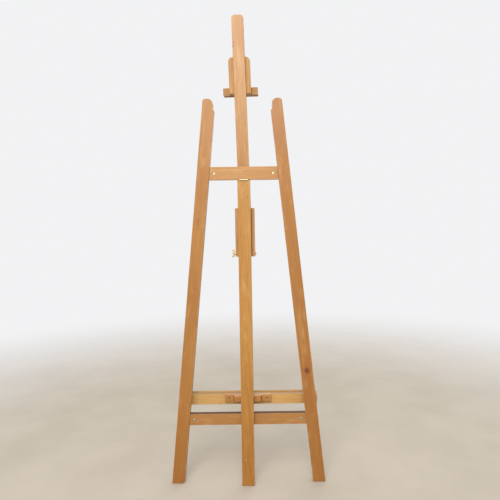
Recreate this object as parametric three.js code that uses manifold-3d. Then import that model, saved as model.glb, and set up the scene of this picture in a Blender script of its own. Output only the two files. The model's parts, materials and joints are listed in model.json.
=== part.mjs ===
// A studio easel in beech, folded flat: two splayed side legs and two crossbars make the frame,
// a centre rail is screwed to the front of the crossbars, a mast rides on the rail in a clamped
// sleeve and carries the top canvas clamp, a shelf rides lower down on the same rail, and a rear
// leg hangs from a butt hinge.
// Millimetres. +Z is up, the canvas side faces -Y, and the rear leg opens towards +Y.
// "left" pieces are on +X and "right" pieces on -X, as seen from behind.

import * as THREE from 'three';
import { mergeVertices } from 'three/addons/utils/BufferGeometryUtils.js';
import Module from 'manifold-3d';

const wasm = await Module();
wasm.setup();

// ---------------------------------------------------------------- driving dimensions

const GAP = 0.3;                    // space left between pieces that touch
const SLACK = 0.4;                  // extra radius of a hole over the pin or screw in it
const PLAIN_SIDES = 12;             // facets round a screw, pin or hole
const FINE_SIDES = 18;              // facets round a larger turned piece
const SHANK_SIDES = 8;              // facets round a screw's shank

// side legs: their back faces lie in the plane y = 0 until the easel is centred at the end
const LEG_HEIGHT = 1310;
const LEG_THICK = 24;
const LEG_FOOT_OUT = 266;           // outer edge at the floor, from the middle of the easel
const LEG_FOOT_IN = 223.5;
const LEG_TOP_OUT = 130.5;          // the same edges at the leg's full height
const LEG_TOP_IN = 89.5;
const LEG_SHOULDER_DROP = 42;       // full width starts this far below the top
const LEG_NOTCH_DROP = 32.5;        // the small S ends here and the notch begins
const LEG_NOTCH_IN = 98;            // upright face of the notch
const LEG_CROWN_RADIUS = 17.5;      // large round on the inner side of the top
const LEG_CORNER_DROP = 8;          // small round on the outer side of the top

// crossbars
const UPPER_BAR_HEIGHT = 43.5;
const LOWER_BAR_HEIGHT = 39;
const BAR_THICK = 20;
const BAR_BACK_Y = -4;              // set back from the legs' back faces
const UPPER_BAR_Z = 1043;           // undersides
const LOWER_BAR_Z = 204.5;

// knock-down fittings between crossbars and legs
const NUT_RADIUS = 5;
const NUT_LENGTH = 15;
const NUT_INSET = 16;               // barrel nut's axis from the leg's inner edge
const BOLT_RADIUS = 3;
const BOLT_HEAD_RADIUS = 7.5;
const BOLT_HEAD_THICK = 2.5;
const BOLT_HEAD_SUNK = 1.2;         // below the leg's outer edge
const BOLT_SOCKET_ACROSS = 4;
const DOWEL_RADIUS = 4;
const DOWEL_LENGTH = 30;
const DOWEL_DROP = 11;              // dowel's axis below the bolt's axis

// centre rail
const RAIL_WIDTH = 40;
const RAIL_THICK = 18;
const RAIL_GROOVE_WIDE = 5;
const RAIL_GROOVE_DEEP = 5;
const RAIL_SCREW_LENGTH = 34;
const RAIL_SCREW_INSET = 9;         // from the crossbar's upper and lower edges

// sleeve that clamps the mast to the rail
const SLEEVE_WIDTH = 66;
const SLEEVE_BOTTOM_Z = 784;
const SLEEVE_TOP_Z = 949;
const CHEEK_THICK = 10;
const CHEEK_DEEP = 26;
const WEB_THICK = 10;
const WEB_BOTTOM_Z = 807;           // the cheeks run on below the web as two clamping ears
const SLEEVE_BOLT_Z = 794;
const CHEEK_SCREW_LENGTH = 26;
const CHEEK_SCREW_HEIGHTS = [832, 925];
const WASHER_RADIUS = 7;
const WASHER_THICK = 1.4;
const TONGUE_THICK = 4;
const DOME_RADIUS = 10;             // sphere that the bolt's low domed head is part of
const DOME_HEIGHT = 4;

// mast
const MAST_WIDTH = 40.5;
const MAST_THICK = 18;
const MAST_TOP_Z = 1599;
const MAST_TOP_RADIUS = 12;
const MAST_GROOVE_DEEP = 4.5;
// the mast has swung a little on its upper screw
const MAST_LEAN = THREE.MathUtils.degToRad(1.35);
const MAST_PIVOT_Z = 930;
const MAST_LOWER_SCREW_Z = 840;

// top canvas clamp
const CLAMP_WIDTH = 73.5;
const CLAMP_BOTTOM_Z = 1338;
const CLAMP_TOP_Z = 1466;
const CLAMP_CORNER_RADIUS = 16;
const CLAMP_THICK = 12;
const GUIDE_WIDTH = 16;
const GUIDE_DEEP = 17;
const GUIDE_DROP = 5;               // tops of the guide strips below the plate's top
const GUIDE_REBATE_WIDE = 6;        // low step beside the mast
const GUIDE_REBATE_DEEP = 3;
const LIP_WIDTH = 119;
const LIP_HEIGHT = 24;
const LIP_DEEP = 33;
const LIP_REBATE_HIGH = 4;
const LIP_FRONT_THICK = 7;
const LIP_SCREW_X = 29;
const THUMB_SCREW_Z = 1420;
const INSERT_RADIUS = 5;            // threaded insert of the thumb screw

// canvas shelf and its keeper
const SHELF_LENGTH = 475;
const SHELF_OFFSET_X = -5;
const SHELF_BOTTOM_Z = 262.5;
const SHELF_HEIGHT = 38;
const SHELF_DEEP = 31;
const SHELF_CORNER_RADIUS = 12;
const SHELF_LOWER_RADIUS = 4;
const SHELF_SEAT_DEEP = 24;         // the canvas stands on this much of the top
const SHELF_SEAT_DROP = 3;
const KEEPER_HALF_LENGTH = 80.5;
const KEEPER_HALF_MIDDLE = 50.5;
const KEEPER_TAB_THICK = 11;
const KEEPER_MIDDLE_THICK = 27;
const KEEPER_BOTTOM_Z = 275;
const KEEPER_HEIGHT = 26;
const KEEPER_END_SLOPE = 6;
const KEEPER_RAISE = 6;              // underside of the thick middle above the tabs' undersides
const KEEPER_SCREW_X = 66;

// rear leg and its butt hinge
const REAR_WIDTH = 42.5;
const REAR_THICK = 20;
const HINGE_Y = -1.8;
const HINGE_Z = 1042.6;
const KNUCKLE_RADIUS = 2.4;
const HINGE_PIN_RADIUS = 1;
const HINGE_LENGTH = 30;
const LEAF_THICK = 1.1;
const LEAF_REACH = 18.5;
const LEAF_SCREW_X = 9;
const LEAF_SCREW_BACK = 10.5;       // screw axis in front of the hinge pin
const LEAF_SCREW_LENGTH = 13;
const LEAF_CLEAR = 0.3;             // each leaf's inner face stands this far from the pin's axis

// wings of the wing nut and of the clamp's wing screw
const WING_SPAN = 30;
const WING_THICK = 2.4;
const HUB_RADIUS = 5.6;
const HUB_LENGTH = 7;

// head and shank radii of the wood screws
const BIG_SCREW = [4.2, 2.1];
const CHEEK_SCREW = [3.8, 1.9];
const KEEPER_SCREW = [3.6, 1.9];
const LEAF_SCREW = [2.8, 1.4];
const POINT_LENGTH = 3;
const RECESS_DEEP = 0.8;            // crossed driver recess in the head
const HEAD_SUNK = 0.4;              // heads sit this far below the wood

// ---------------------------------------------------------------- places worked out from them

const barMiddleY = BAR_BACK_Y - BAR_THICK / 2;
const railBackY = BAR_BACK_Y - BAR_THICK - GAP;
const railFrontY = railBackY - RAIL_THICK;
const railMiddleY = (railBackY + railFrontY) / 2;
const webBackY = railFrontY - GAP;
const webFrontY = webBackY - WEB_THICK;
const cheekBackY = webFrontY + CHEEK_DEEP;
const sleeveBoltY = railFrontY - BOLT_RADIUS - 1.7;
const mastBackY = webFrontY - GAP;
const mastFrontY = mastBackY - MAST_THICK;
const mastMiddleY = (mastBackY + mastFrontY) / 2;
const clampBackY = mastFrontY - GAP;
const clampFrontY = clampBackY - CLAMP_THICK;
const lipFrontY = clampBackY - LIP_DEEP;
const shelfBackY = railFrontY - GAP;
const shelfFrontY = shelfBackY - SHELF_DEEP;
const keeperFrontY = shelfBackY + GAP;

const OUTER_SLOPE = (LEG_FOOT_OUT - LEG_TOP_OUT) / LEG_HEIGHT;
const INNER_SLOPE = (LEG_FOOT_IN - LEG_TOP_IN) / LEG_HEIGHT;
const outerEdgeX = (z) => LEG_FOOT_OUT - z * OUTER_SLOPE;
const innerEdgeX = (z) => LEG_FOOT_IN - z * INNER_SLOPE;

// ---------------------------------------------------------------- finishes

function finish(color, roughness, metalness) {
  return new THREE.MeshStandardMaterial({ color, roughness, metalness });
}

const legBeech = finish(0xcb9358, 0.5, 0);
const rearBeech = finish(0xcf9a5c, 0.48, 0);
const barBeech = finish(0xcc9762, 0.5, 0);
const mastBeech = finish(0xd8aa72, 0.48, 0);
const shelfBeech = finish(0xcf9f62, 0.5, 0);
const sleeveBeech = finish(0xc99468, 0.52, 0);
const dowelBeech = finish(0xd9b98c, 0.7, 0);
const brass = finish(0xd9c58c, 0.32, 1);
const nickel = finish(0xdcd2bb, 0.3, 1);
const steel = finish(0xb4b2ac, 0.38, 1);

// ---------------------------------------------------------------- solids

function toSolid(geometry) {
  const bare = geometry.clone();
  bare.deleteAttribute('normal');
  bare.deleteAttribute('uv');
  const merged = mergeVertices(bare, 1e-4);
  const vertProperties = new Float32Array(merged.attributes.position.array);
  const triVerts = new Uint32Array(merged.index.array);
  return new wasm.Manifold(new wasm.Mesh({ numProp: 3, vertProperties, triVerts }));
}

function toGeometry(solid) {
  const mesh = solid.getMesh();
  const geometry = new THREE.BufferGeometry();
  const positions = new Float32Array(mesh.vertProperties);
  geometry.setAttribute('position', new THREE.BufferAttribute(positions, 3));
  geometry.setIndex(new THREE.BufferAttribute(new Uint32Array(mesh.triVerts), 1));
  const flat = geometry.toNonIndexed();
  flat.computeVertexNormals();
  return flat;
}

function cut(geometry, ...tools) {
  const left = tools.reduce((solid, tool) => solid.subtract(toSolid(tool)), toSolid(geometry));
  return toGeometry(left);
}

function join(geometry, ...others) {
  const whole = others.reduce((solid, other) => solid.add(toSolid(other)), toSolid(geometry));
  return toGeometry(whole);
}

function keep(geometry, region) {
  return toGeometry(toSolid(geometry).intersect(toSolid(region)));
}

// a block between two opposite corners
function block([x0, y0, z0], [x1, y1, z1]) {
  const geometry = new THREE.BoxGeometry(Math.abs(x1 - x0), Math.abs(y1 - y0), Math.abs(z1 - z0));
  return geometry.translate((x0 + x1) / 2, (y0 + y1) / 2, (z0 + z1) / 2);
}

// a round rod or cone from one point to another
function rod(start, end, radiusStart, radiusEnd = radiusStart, sides = PLAIN_SIDES) {
  const from = new THREE.Vector3(...start);
  const run = new THREE.Vector3(...end).sub(from);
  const length = run.length();
  const geometry = new THREE.CylinderGeometry(radiusEnd, radiusStart, length, sides);
  geometry.translate(0, length / 2, 0);
  const turn = new THREE.Quaternion().setFromUnitVectors(new THREE.Vector3(0, 1, 0), run.normalize());
  return geometry.applyQuaternion(turn).translate(from.x, from.y, from.z);
}

// an outline drawn in x and z, given thickness from one y to another
function board(outline, y0, y1, curveSegments = 6) {
  const depth = Math.abs(y1 - y0);
  const geometry = new THREE.ExtrudeGeometry(outline, { depth, bevelEnabled: false, curveSegments });
  return geometry.rotateX(Math.PI / 2).translate(0, Math.max(y0, y1), 0);
}

// an outline drawn in x and y, given height from one z to another
function slab(outline, z0, z1, curveSegments = 6) {
  const depth = z1 - z0;
  const geometry = new THREE.ExtrudeGeometry(outline, { depth, bevelEnabled: false, curveSegments });
  return geometry.translate(0, 0, z0);
}

// a rectangle in x and z with its two upper and two lower corners rounded
function roundedOutline(x0, x1, z0, z1, upperRadius, lowerRadius) {
  const down = -Math.PI / 2;
  const up = Math.PI / 2;
  const low = lowerRadius;
  const outline = new THREE.Shape();
  outline.moveTo(x0 + low, z0);
  outline.lineTo(x1 - low, z0);
  if (low) outline.absarc(x1 - low, z0 + low, low, down, 0, false);
  outline.lineTo(x1, z1 - upperRadius);
  outline.absarc(x1 - upperRadius, z1 - upperRadius, upperRadius, 0, up, false);
  outline.lineTo(x0 + upperRadius, z1);
  outline.absarc(x0 + upperRadius, z1 - upperRadius, upperRadius, up, Math.PI, false);
  outline.lineTo(x0, z0 + low);
  if (low) outline.absarc(x0 + low, z0 + low, low, Math.PI, Math.PI + up, false);
  return outline;
}

function mirrored(geometry) {
  const flipped = toSolid(geometry).mirror([1, 0, 0]);
  return toGeometry(flipped);
}

function piece(name, geometry, material) {
  const mesh = new THREE.Mesh(geometry, material);
  mesh.name = name;
  return mesh;
}

// the left piece as drawn on +X, and its mirror image on -X
function pair(suffix, geometry, material) {
  const left = piece(`left_${suffix}`, geometry, material);
  const right = piece(`right_${suffix}`, mirrored(geometry), material);
  return [left, right];
}

// a countersunk wood screw: head flush at `head`, point at `tip`, crossed slot in the head
function woodScrew(head, tip, headRadius, shankRadius) {
  const start = new THREE.Vector3(...head);
  const along = new THREE.Vector3(...tip).sub(start).normalize();
  const at = (distance) => start.clone().addScaledVector(along, distance).toArray();
  const length = start.distanceTo(new THREE.Vector3(...tip));
  const neck = headRadius - shankRadius;
  const pointStart = length - POINT_LENGTH;
  const cone = rod(head, at(neck), headRadius, shankRadius);
  const shank = rod(at(neck - 0.2), at(pointStart), shankRadius, shankRadius, SHANK_SIDES);
  const point = rod(at(pointStart), at(length), shankRadius, 0.4, SHANK_SIDES);
  const across = new THREE.Vector3(along.y, along.z, along.x);
  const other = new THREE.Vector3().crossVectors(along, across);
  const slots = [across, other].map((arm) => crossSlot(start, along, arm, headRadius));
  return cut(join(cone, shank, point), ...slots);
}

// one bar of the crossed recess
function crossSlot(start, along, direction, headRadius) {
  const length = headRadius * 1.1;
  const wide = headRadius * 0.2;
  const geometry = new THREE.BoxGeometry(length, wide, 2 * RECESS_DEEP);
  const side = new THREE.Vector3().crossVectors(along, direction);
  const turn = new THREE.Matrix4().makeBasis(direction, side, along);
  return geometry.applyMatrix4(turn).translate(start.x, start.y, start.z);
}

// the hole such a screw sits in, a little wider and deeper all round
function screwHole(head, tip, headRadius, shankRadius) {
  const start = new THREE.Vector3(...head);
  const along = new THREE.Vector3(...tip).sub(start).normalize();
  const at = (distance) => start.clone().addScaledVector(along, distance).toArray();
  const length = start.distanceTo(new THREE.Vector3(...tip));
  const neck = headRadius - shankRadius;
  const boreRadius = shankRadius + SLACK;
  const mouth = rod(at(-1), at(neck + SLACK), headRadius + 1 + SLACK, boreRadius - 0.15);
  const bore = rod(at(-1), at(length + 1), boreRadius, boreRadius, SHANK_SIDES);
  return join(mouth, bore);
}

// ---------------------------------------------------------------- fixings of the frame

const crossbars = {
  upper: { bottomZ: UPPER_BAR_Z, topZ: UPPER_BAR_Z + UPPER_BAR_HEIGHT },
  lower: { bottomZ: LOWER_BAR_Z, topZ: LOWER_BAR_Z + LOWER_BAR_HEIGHT },
};

// the corner where a crossbar meets the left leg
function cornerFixing({ bottomZ, topZ }) {
  const z = (bottomZ + topZ) / 2;
  const nutX = innerEdgeX(z) - NUT_INSET;
  const seatX = outerEdgeX(z) - BOLT_HEAD_THICK - BOLT_HEAD_SUNK;
  const dowelX = innerEdgeX(z - DOWEL_DROP);
  return { z, nutX, seatX, dowelX, y: barMiddleY };
}

// room for bolt, barrel nut and dowel, taken out of both the leg and the crossbar
function cornerHoles({ z, nutX, seatX, dowelX, y }) {
  const half = DOWEL_LENGTH / 2 + GAP;
  const dowelZ = z - DOWEL_DROP;
  const nutFrontY = y - NUT_LENGTH / 2 - 1;
  const nutBore = NUT_RADIUS + GAP;
  return [
    rod([nutX - 9, y, z], [seatX, y, z], BOLT_RADIUS + SLACK),
    rod([seatX, y, z], [seatX + 20, y, z], BOLT_HEAD_RADIUS + SLACK),
    rod([nutX, nutFrontY, z], [nutX, BAR_BACK_Y + 1, z], nutBore, nutBore, FINE_SIDES),
    rod([dowelX - half, y, dowelZ], [dowelX + half, y, dowelZ], DOWEL_RADIUS + GAP),
  ];
}

// drawn on +X; `side` is 1 for the left leg and -1 for the right
function holesOnSide(fixing, side) {
  const holes = cornerHoles(fixing);
  return side > 0 ? holes : holes.map(mirrored);
}

function barrelNut({ z, nutX, y }) {
  const backY = BAR_BACK_Y - 0.4;
  const frontY = backY - NUT_LENGTH;
  const body = rod([nutX, frontY, z], [nutX, backY, z], NUT_RADIUS, NUT_RADIUS, FINE_SIDES);
  const thread = rod([nutX - 9, y, z], [nutX + 9, y, z], BOLT_RADIUS + GAP);
  const slot = block([nutX - 4, backY - 1, z - 0.6], [nutX + 4, backY + 1, z + 0.6]);
  return cut(body, thread, slot);
}

function connectorBolt({ z, nutX, seatX, y }) {
  const shank = rod([nutX - 7, y, z], [seatX + 1, y, z], BOLT_RADIUS);
  const headX = seatX + GAP;
  const faceX = headX + BOLT_HEAD_THICK;
  const faceRadius = BOLT_HEAD_RADIUS - 1;
  const head = rod([headX, y, z], [faceX, y, z], BOLT_HEAD_RADIUS, faceRadius, FINE_SIDES);
  const socketRadius = BOLT_SOCKET_ACROSS / Math.sqrt(3);
  const socket = rod([faceX - 2, y, z], [faceX + 1, y, z], socketRadius, socketRadius, 6);
  return cut(join(shank, head), socket);
}

function dowel({ z, dowelX, y }) {
  const dowelZ = z - DOWEL_DROP;
  const half = DOWEL_LENGTH / 2;
  return rod([dowelX - half, y, dowelZ], [dowelX + half, y, dowelZ], DOWEL_RADIUS);
}

const corners = Object.entries(crossbars).map(([height, bar]) => [height, cornerFixing(bar)]);

// ---------------------------------------------------------------- legs and crossbars

// the left leg's outline: straight tapering sides, a round top, a short notch and a small S inside
function legOutline() {
  const top = LEG_HEIGHT;
  const shoulderZ = top - LEG_SHOULDER_DROP;
  const notchZ = top - LEG_NOTCH_DROP;
  const shoulderX = innerEdgeX(shoulderZ);
  const middleZ = (shoulderZ + notchZ) / 2;
  const middleX = (shoulderX + LEG_NOTCH_IN) / 2;
  const crownX = LEG_NOTCH_IN + LEG_CROWN_RADIUS;
  const cornerZ = top - LEG_CORNER_DROP;
  const outline = new THREE.Shape();
  outline.moveTo(LEG_FOOT_IN, 0);
  outline.lineTo(LEG_FOOT_OUT, 0);
  outline.lineTo(outerEdgeX(cornerZ), cornerZ);
  outline.bezierCurveTo(outerEdgeX(top), top - 2, crownX + 8, top, crownX, top);
  outline.absarc(crownX, top - LEG_CROWN_RADIUS, LEG_CROWN_RADIUS, Math.PI / 2, Math.PI, false);
  outline.lineTo(LEG_NOTCH_IN, notchZ);
  outline.quadraticCurveTo(LEG_NOTCH_IN, middleZ + 1, middleX, middleZ);
  outline.quadraticCurveTo(shoulderX, middleZ - 1, shoulderX, shoulderZ);
  return outline;
}

function sideLegs() {
  const drawn = board(legOutline(), -LEG_THICK, 0, 8);
  const holes = corners.flatMap(([, corner]) => cornerHoles(corner));
  return pair('leg', cut(drawn, ...holes), legBeech);
}

// ends cut to the slope of the legs
function crossbar(height) {
  const { bottomZ, topZ } = crossbars[height];
  const outline = new THREE.Shape();
  outline.moveTo(-innerEdgeX(bottomZ) + GAP, bottomZ);
  outline.lineTo(innerEdgeX(bottomZ) - GAP, bottomZ);
  outline.lineTo(innerEdgeX(topZ) - GAP, topZ);
  outline.lineTo(-innerEdgeX(topZ) + GAP, topZ);
  const blank = board(outline, BAR_BACK_Y - BAR_THICK, BAR_BACK_Y);
  const corner = cornerFixing(crossbars[height]);
  const holes = [1, -1].flatMap((side) => holesOnSide(corner, side));
  const screws = railScrewHeights(height).map(railScrewHole);
  const hinge = height === 'upper' ? [leafPocket(1), ...leafScrewPlaces(1).map(leafScrewHole)] : [];
  return piece(`${height}_crossbar`, cut(blank, ...holes, ...screws, ...hinge), barBeech);
}

function frameFixings() {
  return corners.flatMap(([height, corner]) => [
    ...pair(`${height}_barrel_nut`, barrelNut(corner), nickel),
    ...pair(`${height}_connector_bolt`, connectorBolt(corner), steel),
    ...pair(`${height}_dowel`, dowel(corner), dowelBeech),
  ]);
}

// ---------------------------------------------------------------- centre rail

function railScrewHeights(height) {
  const { bottomZ, topZ } = crossbars[height];
  return [bottomZ + RAIL_SCREW_INSET, topZ - RAIL_SCREW_INSET];
}

function railScrewEnds(z) {
  return [[0, railFrontY + HEAD_SUNK, z], [0, railFrontY + RAIL_SCREW_LENGTH, z]];
}

function railScrewHole(z) {
  return screwHole(...railScrewEnds(z), ...BIG_SCREW);
}

// the grooves in both edges take the tongues of the sleeve
function centreRail() {
  const half = RAIL_WIDTH / 2;
  const { topZ } = crossbars.upper;
  const blank = block([-half, railFrontY, LOWER_BAR_Z], [half, railBackY, topZ]);
  const grooves = [half, -half].map((x) => {
    const y0 = railMiddleY - RAIL_GROOVE_WIDE / 2;
    const wide = RAIL_GROOVE_DEEP;
    return block([x - wide, y0, LOWER_BAR_Z - 1], [x + wide, y0 + RAIL_GROOVE_WIDE, topZ + 1]);
  });
  const screws = Object.keys(crossbars).flatMap(railScrewHeights).map(railScrewHole);
  return piece('centre_rail', cut(blank, ...grooves, ...screws), mastBeech);
}

function railScrews() {
  return Object.keys(crossbars).flatMap((height) => railScrewHeights(height).map((z, i) => {
    const screw = woodScrew(...railScrewEnds(z), ...BIG_SCREW);
    return piece(`${height}_rail_screw_${i + 1}`, screw, steel);
  }));
}

// ---------------------------------------------------------------- sleeve, bolt and wing nut

const cheekOuterX = SLEEVE_WIDTH / 2;
const cheekInnerX = cheekOuterX - CHEEK_THICK;
const cheekScrewY = (webBackY + webFrontY) / 2;

function cheekScrewEnds(z) {
  const headX = cheekOuterX - HEAD_SUNK;
  return [[headX, cheekScrewY, z], [headX - CHEEK_SCREW_LENGTH, cheekScrewY, z]];
}

const cheekScrewHole = (z) => screwHole(...cheekScrewEnds(z), ...CHEEK_SCREW);

// the left cheek, with its tongue reaching into the rail's groove and a square hole for the bolt's neck
function sleeveCheeks() {
  const z0 = SLEEVE_BOTTOM_Z;
  const z1 = SLEEVE_TOP_Z;
  const side = block([cheekInnerX, webFrontY, z0], [cheekOuterX, cheekBackY, z1]);
  const tongueTipX = RAIL_WIDTH / 2 - RAIL_GROOVE_DEEP + 1;
  const y0 = railMiddleY - TONGUE_THICK / 2;
  const tongue = block([tongueTipX, y0, z0], [cheekInnerX + 1, y0 + TONGUE_THICK, z1]);
  const screws = CHEEK_SCREW_HEIGHTS.map(cheekScrewHole);
  const y = sleeveBoltY;
  const z = SLEEVE_BOLT_Z;
  const boltHole = rod([0, y, z], [SLEEVE_WIDTH, y, z], BOLT_RADIUS + SLACK);
  const half = BOLT_RADIUS + GAP;
  const neckHole = block([-SLEEVE_WIDTH, y - half, z - half], [0, y + half, z + half]);
  const left = cut(join(side, tongue), ...screws);
  return [
    piece('left_sleeve_cheek', cut(left, boltHole), sleeveBeech),
    piece('right_sleeve_cheek', cut(mirrored(left), neckHole), sleeveBeech),
  ];
}

function cheekScrews() {
  return CHEEK_SCREW_HEIGHTS.flatMap((z, i) => {
    const place = i === 0 ? 'lower' : 'upper';
    return pair(`${place}_cheek_screw`, woodScrew(...cheekScrewEnds(z), ...CHEEK_SCREW), steel);
  });
}

function sleeveWeb() {
  const half = cheekInnerX - GAP;
  const blank = block([-half, webFrontY, WEB_BOTTOM_Z], [half, webBackY, SLEEVE_TOP_Z]);
  const leftHoles = CHEEK_SCREW_HEIGHTS.map(cheekScrewHole);
  const holes = [...leftHoles, ...leftHoles.map(mirrored)];
  const mastHoles = [MAST_LOWER_SCREW_Z, MAST_PIVOT_Z].map((z) => leaned(mastScrewHole(z)));
  return piece('sleeve_web', cut(blank, ...holes, ...mastHoles), sleeveBeech);
}

// carriage bolt: domed head and square neck on the right, thread end on the left
function clampBolt() {
  const y = sleeveBoltY;
  const z = SLEEVE_BOLT_Z;
  const headX = -cheekOuterX - GAP;
  const dome = new THREE.SphereGeometry(DOME_RADIUS, 20, 12);
  dome.rotateZ(Math.PI / 2).translate(headX + DOME_RADIUS - DOME_HEIGHT, y, z);
  const reach = DOME_RADIUS + 2;
  const cap = keep(dome, block([headX - reach, y - reach, z - reach], [headX, y + reach, z + reach]));
  const half = BOLT_RADIUS;
  const neck = block([headX - 1, y - half, z - half], [headX + 5, y + half, z + half]);
  const shank = rod([headX, y, z], [cheekOuterX + 12, y, z], BOLT_RADIUS);
  return piece('sleeve_clamp_bolt', join(cap, neck, shank), brass);
}

function washer() {
  const x0 = cheekOuterX + GAP;
  const x1 = x0 + WASHER_THICK;
  const y = sleeveBoltY;
  const z = SLEEVE_BOLT_Z;
  const disc = rod([x0, y, z], [x1, y, z], WASHER_RADIUS, WASHER_RADIUS, FINE_SIDES);
  const hole = rod([x0 - 1, y, z], [x1 + 1, y, z], BOLT_RADIUS + SLACK);
  return piece('sleeve_washer', cut(disc, hole), brass);
}

// one rounded ear, drawn in x (along the screw) and z (away from it)
function wingOutline() {
  const tip = WING_SPAN / 2;
  const outline = new THREE.Shape();
  outline.moveTo(0.8, 3);
  outline.lineTo(HUB_LENGTH - 1, 3);
  outline.quadraticCurveTo(HUB_LENGTH + 0.5, 7, HUB_LENGTH + 4, 9);
  outline.absarc(HUB_LENGTH + 1.5, tip - 4, 4, 0, Math.PI * 0.9, false);
  outline.quadraticCurveTo(0.8, 8, 0.8, 3);
  return outline;
}

// hub and two ears along +X, to be moved and turned into place
function wings() {
  const hub = rod([0, 0, 0], [HUB_LENGTH, 0, 0], HUB_RADIUS, HUB_RADIUS - 1.4, FINE_SIDES);
  const ear = board(wingOutline(), -WING_THICK / 2, WING_THICK / 2, 5);
  const twin = ear.clone().rotateX(Math.PI);
  return join(hub, ear, twin);
}

function wingNut() {
  const bore = rod([-1, 0, 0], [HUB_LENGTH + 8, 0, 0], BOLT_RADIUS + GAP);
  const nut = piece('sleeve_wing_nut', cut(wings(), bore), brass);
  nut.position.set(cheekOuterX + 2 * GAP + WASHER_THICK, sleeveBoltY, SLEEVE_BOLT_Z);
  return nut;
}

// ---------------------------------------------------------------- mast

const mastScrewEnds = (z) => [[0, mastFrontY + HEAD_SUNK, z], [0, webBackY - 1.5, z]];
const mastScrewHole = (z) => screwHole(...mastScrewEnds(z), ...BIG_SCREW);

// turns a geometry drawn upright into the mast's lean
function leaned(geometry) {
  return geometry.translate(0, 0, -MAST_PIVOT_Z).rotateY(MAST_LEAN).translate(0, 0, MAST_PIVOT_Z);
}

function mast() {
  const half = MAST_WIDTH / 2;
  const outline = roundedOutline(-half, half, WEB_BOTTOM_Z, MAST_TOP_Z, MAST_TOP_RADIUS, 0);
  const blank = board(outline, mastFrontY, mastBackY, 6);
  const grooves = [half, -half].map((x) => {
    const y0 = mastMiddleY - RAIL_GROOVE_WIDE / 2;
    const deep = MAST_GROOVE_DEEP;
    return block([x - deep, y0, WEB_BOTTOM_Z - 1], [x + deep, y0 + RAIL_GROOVE_WIDE, MAST_TOP_Z + 1]);
  });
  const screws = [MAST_LOWER_SCREW_Z, MAST_PIVOT_Z].map(mastScrewHole);
  return piece('mast', cut(blank, ...grooves, ...screws), mastBeech);
}

function mastScrews() {
  return [['lower', MAST_LOWER_SCREW_Z], ['upper', MAST_PIVOT_Z]].map(([place, z]) => (
    piece(`${place}_mast_screw`, woodScrew(...mastScrewEnds(z), ...BIG_SCREW), steel)
  ));
}

// ---------------------------------------------------------------- top canvas clamp

function clampOutline(drop = 0) {
  const half = CLAMP_WIDTH / 2;
  return roundedOutline(-half, half, CLAMP_BOTTOM_Z, CLAMP_TOP_Z - drop, CLAMP_CORNER_RADIUS, 0);
}

const lipScrewZ = CLAMP_BOTTOM_Z + LIP_HEIGHT / 2 + 1;
const lipScrewEnds = [
  [LIP_SCREW_X, lipFrontY + HEAD_SUNK, lipScrewZ],
  [LIP_SCREW_X, clampBackY - 2.5, lipScrewZ],
];
const lipScrewHole = () => screwHole(...lipScrewEnds, ...BIG_SCREW);

function clampPlate() {
  const blank = board(clampOutline(), clampFrontY, clampBackY, 6);
  const screw = lipScrewHole();
  const z = THUMB_SCREW_Z;
  const bore = INSERT_RADIUS + GAP;
  const insertHole = rod([0, clampFrontY - 1, z], [0, clampBackY + 1, z], bore, bore, FINE_SIDES);
  return piece('clamp_plate', cut(blank, screw, mirrored(screw), insertHole), mastBeech);
}

// the left guide strip: a wall stepped down beside the mast, and a tongue that runs in the mast's groove
function clampGuides() {
  const outerX = CLAMP_WIDTH / 2;
  const wallX = outerX - GUIDE_WIDTH;
  const y0 = clampBackY + GAP;
  const y1 = y0 + GUIDE_DEEP;
  const z0 = CLAMP_BOTTOM_Z;
  const z1 = CLAMP_TOP_Z;
  const wall = block([wallX, y0, z0], [outerX, y1, z1]);
  const stepX = wallX + GUIDE_REBATE_WIDE;
  const rebate = block([wallX - 1, y1 - GUIDE_REBATE_DEEP, z0 - 1], [stepX, y1 + 1, z1 + 1]);
  const tipX = MAST_WIDTH / 2 - MAST_GROOVE_DEEP + 0.8;
  const tongueY = mastMiddleY - TONGUE_THICK / 2;
  const tongue = block([tipX, tongueY, z0], [wallX + 1, tongueY + TONGUE_THICK, z1]);
  const rounded = board(clampOutline(GUIDE_DROP), y0 - 1, y1 + 1, 6);
  return pair('clamp_guide', keep(cut(join(wall, tongue), rebate), rounded), mastBeech);
}

// the lip takes the foot of the plate in a notch, and its rebate hooks over the canvas's top edge
function clampLip() {
  const half = LIP_WIDTH / 2;
  const plateHalf = CLAMP_WIDTH / 2 + GAP;
  const z0 = CLAMP_BOTTOM_Z;
  const z1 = z0 + LIP_HEIGHT;
  const blank = block([-half, lipFrontY, z0], [half, clampBackY, z1]);
  const notchY = clampFrontY - GAP;
  const notch = block([-plateHalf, notchY, z0 - 1], [plateHalf, clampBackY + 1, z1 + 1]);
  const rebateY = lipFrontY + LIP_FRONT_THICK;
  const rebate = block([-half - 1, rebateY, z0 - 1], [half + 1, notchY - 1, z0 + LIP_REBATE_HIGH]);
  const screw = lipScrewHole();
  return piece('clamp_lip', cut(blank, notch, rebate, screw, mirrored(screw)), sleeveBeech);
}

function clampInsert() {
  const z = THUMB_SCREW_Z;
  const y0 = clampFrontY - 1.4;
  const y1 = clampFrontY - GAP;
  const body = INSERT_RADIUS;
  const rim = body + 2;
  const tube = rod([0, y0 + 0.5, z], [0, clampBackY - 0.5, z], body, body, FINE_SIDES);
  const flange = rod([0, y0, z], [0, y1, z], rim, rim, FINE_SIDES);
  const bore = rod([0, y0 - 1, z], [0, clampBackY + 1, z], BOLT_RADIUS + GAP);
  return piece('clamp_insert', cut(join(tube, flange), bore), brass);
}

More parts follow.
